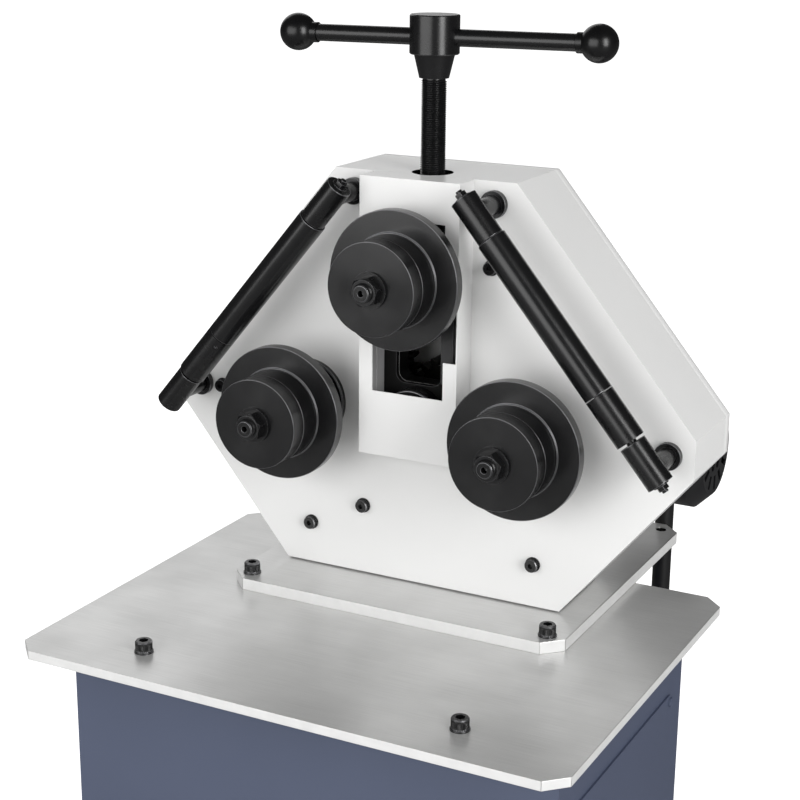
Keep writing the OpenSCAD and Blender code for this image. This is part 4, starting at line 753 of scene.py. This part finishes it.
def makeScrew():
    s = spindle
    origin = Vector((s["axis"][0], s["axis"][1], 0)) * mm
    low, high, collarRadius = s["collar"]
    root, crest = s["thread"]["root"], s["thread"]["crest"]
    profile = [
        (low, 0), (low, collarRadius), (high, collarRadius), (high, root), (s["plainFrom"], root),
        (s["plainFrom"] + crest - root, crest), (s["top"], crest), (s["top"], 0),
    ]
    rod = (profile, origin, (0, 0, 1), s["edge"], False)
    piece = turnedPiece("spindle", [rod], ["oiledBlackSteel", "rubbedEdge"])
    place = Matrix.Translation(origin + Vector((0, 0, s["threadFrom"] * mm)))
    length = s["plainFrom"] - s["threadFrom"]
    addMesh(piece, threadMesh("spindleThread", s["thread"], length, s["threadRunOut"], place))
    dress(piece, "screw", "spindle")


def makeBalls():
    h = handle
    balls, turn = [], radians(h["turn"])
    radius, neck = h["ballRadius"], h["neckRadius"]
    start = sqrt(radius ** 2 - neck ** 2)
    last, steps = pi - radians(h["neckAngle"]), h["arcSteps"]
    for side in (-1, 1):
        along = h["shift"] + side * h["halfSpan"]
        centre = (Vector(h["centre"]) + Vector((cos(turn), sin(turn), 0)) * along) * mm
        inwards = (-side * cos(turn), -side * sin(turn), 0)
        arc = [(-radius * cos(last * k / steps), radius * sin(last * k / steps)) for k in range(steps + 1)]
        end = radius + h["neckLength"]
        profile = [(-radius, 0)] + arc[1:] + [
            (start, neck), (end, neck), (end, h["boreRadius"]), (radius / 2, h["boreRadius"]), (radius / 2, 0)
        ]
        balls.append((profile, centre, inwards, h["edge"], False, h["stepsRound"]))
    piece = turnedPiece("handleBalls", balls, ["blackPhenolic", "blackPhenolic"])
    dress(piece, "bar", "handle_balls")


makeScrew()
makeBalls()
print("stage: screw and handle")

# Back plate: an octagon with the bearings' bores, its screws' counterbores and two pads under it

rearPlate = {
    "front": 162,
    "back": 174,
    "edge": 0.8,
    "screwInset": 6.5,
    "sink": (5.3, 6),  # radius and depth of a counterbore
    "bores": {0: 23.5, 124: 31, -124: 31},  # radius by x
    "pad": (114.9, 138.9, 166, 1.5),  # nearest and farthest x, back, height
    "stepsRound": 64,
}


# the head's outline, moved in on all its sides
def outlineAt(inset):
    high, low = hypot(1, upperSlope) * inset, hypot(1, lowerSlope) * inset
    right = [
        (topX + upperSlope * inset - high, topZ - inset), (midX - inset, upZ - (high - inset) / upperSlope),
        (midX - inset, downZ + (low - inset) / lowerSlope), (footX + lowerSlope * inset - low, footZ + inset),
    ]
    return [Vector(corner) for corner in right + [(-x, z) for x, z in reversed(right)]]


rearPlaces = outlineAt(rearPlate["screwInset"])
rearPlaces += [(rearPlaces[i] + rearPlaces[i + 1]) / 2 for i in (0, 3, 4, 6)]


# the octagonal blank with its edges broken
def plateBlank():
    r, outline = rearPlate, outlineAt(0)
    bm = bmesh.new()
    front, back = [
        [bm.verts.new(Vector((x, y, z + driveZ)) * mm) for x, z in outline] for y in (r["front"], r["back"])
    ]
    bm.faces.new(front)
    bm.faces.new(reversed(back))
    for i in range(8):
        bm.faces.new((front[i], back[i], back[(i + 1) % 8], front[(i + 1) % 8]))
    bmesh.ops.recalc_face_normals(bm, faces=bm.faces)
    bmesh.ops.bevel(
        bm, geom=bm.edges[:], offset=r["edge"] * mm, offset_type="OFFSET", segments=2, profile=0.5, affect="EDGES",
    )
    return bm


def plateCutters():
    r, bm = rearPlate, bmesh.new()
    sinkRadius, sinkDepth = r["sink"]
    holes = [(x, z, sinkRadius, sinkDepth) for x, z in rearPlaces]
    holes += [(x, 0, bore, 20) for x, bore in r["bores"].items()]
    for x, z, radius, depth in holes:
        place = Matrix.Translation(Vector((x, r["back"], z + driveZ)) * mm) @ Matrix.Rotation(pi / 2, 4, "X")
        bmesh.ops.create_cone(
            bm, cap_ends=True, segments=r["stepsRound"], radius1=radius * mm, radius2=radius * mm,
            depth=2 * depth * mm, matrix=place,
        )
    return bm


# the pads only touch the plate, so they come after its holes: the cut can lose a solid that shares a face
def addPads(mesh):
    near, far, back, height = rearPlate["pad"]
    size = Matrix.Diagonal((far - near, back - rearPlate["front"], height, 1))
    bm = bmesh.new()
    bm.from_mesh(mesh)
    for side in (-1, 1):
        centre = Vector((side * (near + far) / 2, (rearPlate["front"] + back) / 2, driveZ + footZ - height / 2))
        bmesh.ops.create_cube(bm, size=1, matrix=Matrix.Scale(mm, 4) @ Matrix.Translation(centre) @ size)
    bm.to_mesh(mesh)
    bm.free()


def makeRearPlate():
    solids = []
    for name, bm in (("rearPlateBlank", plateBlank()), ("rearPlateCutters", plateCutters())):
        mesh = bpy.data.meshes.new(name)
        bm.to_mesh(mesh)
        bm.free()
        solids.append(bpy.data.objects.new(name, mesh))
        scene.collection.objects.link(solids[-1])
    cut = solids[0].modifiers.new("holes", "BOOLEAN")
    cut.operation, cut.solver, cut.object = "DIFFERENCE", "EXACT", solids[1]
    depsgraph = bpy.context.evaluated_depsgraph_get()
    whole = bpy.data.meshes.new_from_object(solids[0].evaluated_get(depsgraph), depsgraph=depsgraph)
    for solid in solids:
        bpy.data.objects.remove(solid)
    addPads(whole)
    smooth(whole)
    dress(newPiece("rearPlate", whole, ["whitePowderCoat"]), "frame", "rear_plate")


makeRearPlate()
print("stage: back plate")

# Socket head screws

# a key's corners are its width over sqrt(3) from its middle
screwSizes = {
    "m10": {
        "Head Radius": 8, "Head Height": 10, "Key Radius": 8 / sqrt(3),
        "Key Depth": 5, "Knurls": 34, "Knurl Depth": 0.35,
        "Rim": 0.9, "Shank Radius": 5, "Shank Length": 30, "With Washer": False,
    },
    "m8Low": {
        "Head Radius": 6.5, "Head Height": 5, "Key Radius": 5 / sqrt(3),
        "Key Depth": 3, "Knurls": 28, "Knurl Depth": 0.3,
        "Rim": 0.7, "Shank Radius": 4, "Shank Length": 15, "With Washer": True, "Washer Radius": 7.5,
        "Washer Height": 1.5,
    },
    "m6": {
        "Head Radius": 5, "Head Height": 6, "Key Radius": 5 / sqrt(3),
        "Key Depth": 3, "Knurls": 24, "Knurl Depth": 0.25,
        "Rim": 0.6, "Shank Radius": 3, "Shank Length": 20, "With Washer": False,
    },
}
counts = {"Knurls", "With Washer"}  # all the other values are in mm
facings = {"up": Matrix(), "front": Matrix.Rotation(pi / 2, 4, "X"), "rear": Matrix.Rotation(-pi / 2, 4, "X")}
seats = {"table": 781.6, "base": 793.6, "face": driveY - 1.6, "sink": rearPlate["back"] - 6, "rail": 58.5}
faceScrewPlaces = [
    (122.54, -131.57), (-122.54, -131.57), (227.31, -1.17), (-227.31, -1.17), (71.36, 153.09), (-71.36, 153.09),
    (-62.59, -103.38),
]
railScrewPlaces = [(x, 215.9 * share) for x in (-43.85, 36.85) for share in (0.24, 0.62, 0.92)]
# node, piece, size, where the heads face, and their places
screwSets = [
    ("plate_bolts", "plateBolts", "m10", "up", [
        (side * 161.5, y, seats[plate]) for y, plate in ((-168, "table"), (19.6, "base")) for side in (-1, 1)
    ]),
    ("face_screws", "faceScrews", "m8Low", "front", [(x, seats["face"], z + driveZ) for x, z in faceScrewPlaces]),
    ("rear_plate_screws", "rearPlateScrews", "m6", "rear", [(x, seats["sink"], z + driveZ) for x, z in rearPlaces]),
    ("guide_rail_screws", "guideRailScrews", "m6", "front", [
        (x, seats["rail"], z + driveZ) for x, z in railScrewPlaces
    ]),
]


def makeScrews():
    for seed, (node, name, size, facing, places) in enumerate(screwSets, 3):
        values = {key: value if key in counts else value * mm for key, value in screwSizes[size].items()}
        values |= {"Seed": seed, "Surface": finish["oiledBlackSteel"], "Rim Surface": finish["rubbedEdge"]}
        turned = facings[facing]
        points = [turned.inverted() @ (Vector(place) * mm) for place in places]
        dress(newPiece(name, runTree(name, screwTree, points, values, turned), []), "frame", node)


makeScrews()
print("stage: screws")

# Studio: a pale floor that goes over into white, and soft lamps

studio = {
    "floorHalf": 30,
    "world": 0.45,
    "worldInGloss": 0.05,
    "floorShade": "E6E6E6",
    "floorShadeInGloss": "7C7C7C",
    "floorGlow": 0.80,
    # place, aim, size, watts
    "keyLamp": ((-1.3, -4.5, 1.9), (0, 0, 1.0), (5.0, 3.2), 128),
    "fillLamp": ((3.1, -1.7, 1.9), (0, 0, 1.0), (1.4, 2.4), 82),
    "plateLamp": ((-3.3, 3.9, 3.4), (0, 0, 0.8), (4.2, 3.2), 45),
}


def makeStudio():
    world = bpy.data.worlds.new("studio")
    world.use_nodes = True
    scene.world = world
    tree = world.node_tree
    rays = addNode(tree, "ShaderNodeLightPath").outputs
    shine = {"Value": rays["Is Glossy Ray"], "To Min": studio["world"], "To Max": studio["worldInGloss"]}
    unseen = addNode(tree, "ShaderNodeMapRange", {}, shine)
    white = {"Value": rays["Is Camera Ray"], "To Min": unseen, "To Max": 1.0}
    strength = addNode(tree, "ShaderNodeMapRange", {}, white)
    feed(tree, tree.nodes["Background"], {"Color": (1, 1, 1, 1), "Strength": strength})
    mesh = bpy.data.meshes.new("floor")
    half = studio["floorHalf"]
    mesh.from_pydata([(-half, -half, 0), (half, -half, 0), (half, half, 0), (-half, half, 0)], [], [(0, 1, 2, 3)])
    floor = bpy.data.objects.new("floor", mesh)
    scene.collection.objects.link(floor)
    material, tree, shader = newMaterial("floor", {"Roughness": 0.9, "Emission Color": (1, 1, 1, 1)})
    rays = addNode(tree, "ShaderNodeLightPath").outputs
    shades = {6: hexColor(studio["floorShade"]), 7: hexColor(studio["floorShadeInGloss"])}
    colour = addNode(tree, "ShaderNodeMix", {"data_type": "RGBA"}, {0: rays["Is Glossy Ray"]} | shades)
    glow = addNode(
        tree, "ShaderNodeMath", {"operation": "MULTIPLY"}, {0: rays["Is Camera Ray"], 1: studio["floorGlow"]}
    )
    feed(tree, shader, {"Base Color": colour.outputs[2], "Emission Strength": glow})
    mesh.materials.append(material)
    for name in ("keyLamp", "fillLamp", "plateLamp"):
        place, aim, (width, height), watts = studio[name]
        data = bpy.data.lights.new(name, "AREA")
        data.shape, data.size, data.size_y, data.energy = "RECTANGLE", width, height, watts
        lamp = bpy.data.objects.new(name, data)
        lamp.location = place
        lamp.rotation_euler = (Vector(aim) - Vector(place)).to_track_quat("-Z", "Y").to_euler()
        scene.collection.objects.link(lamp)


makeStudio()
scene.view_settings.view_transform = "Standard"
print("stage: studio")
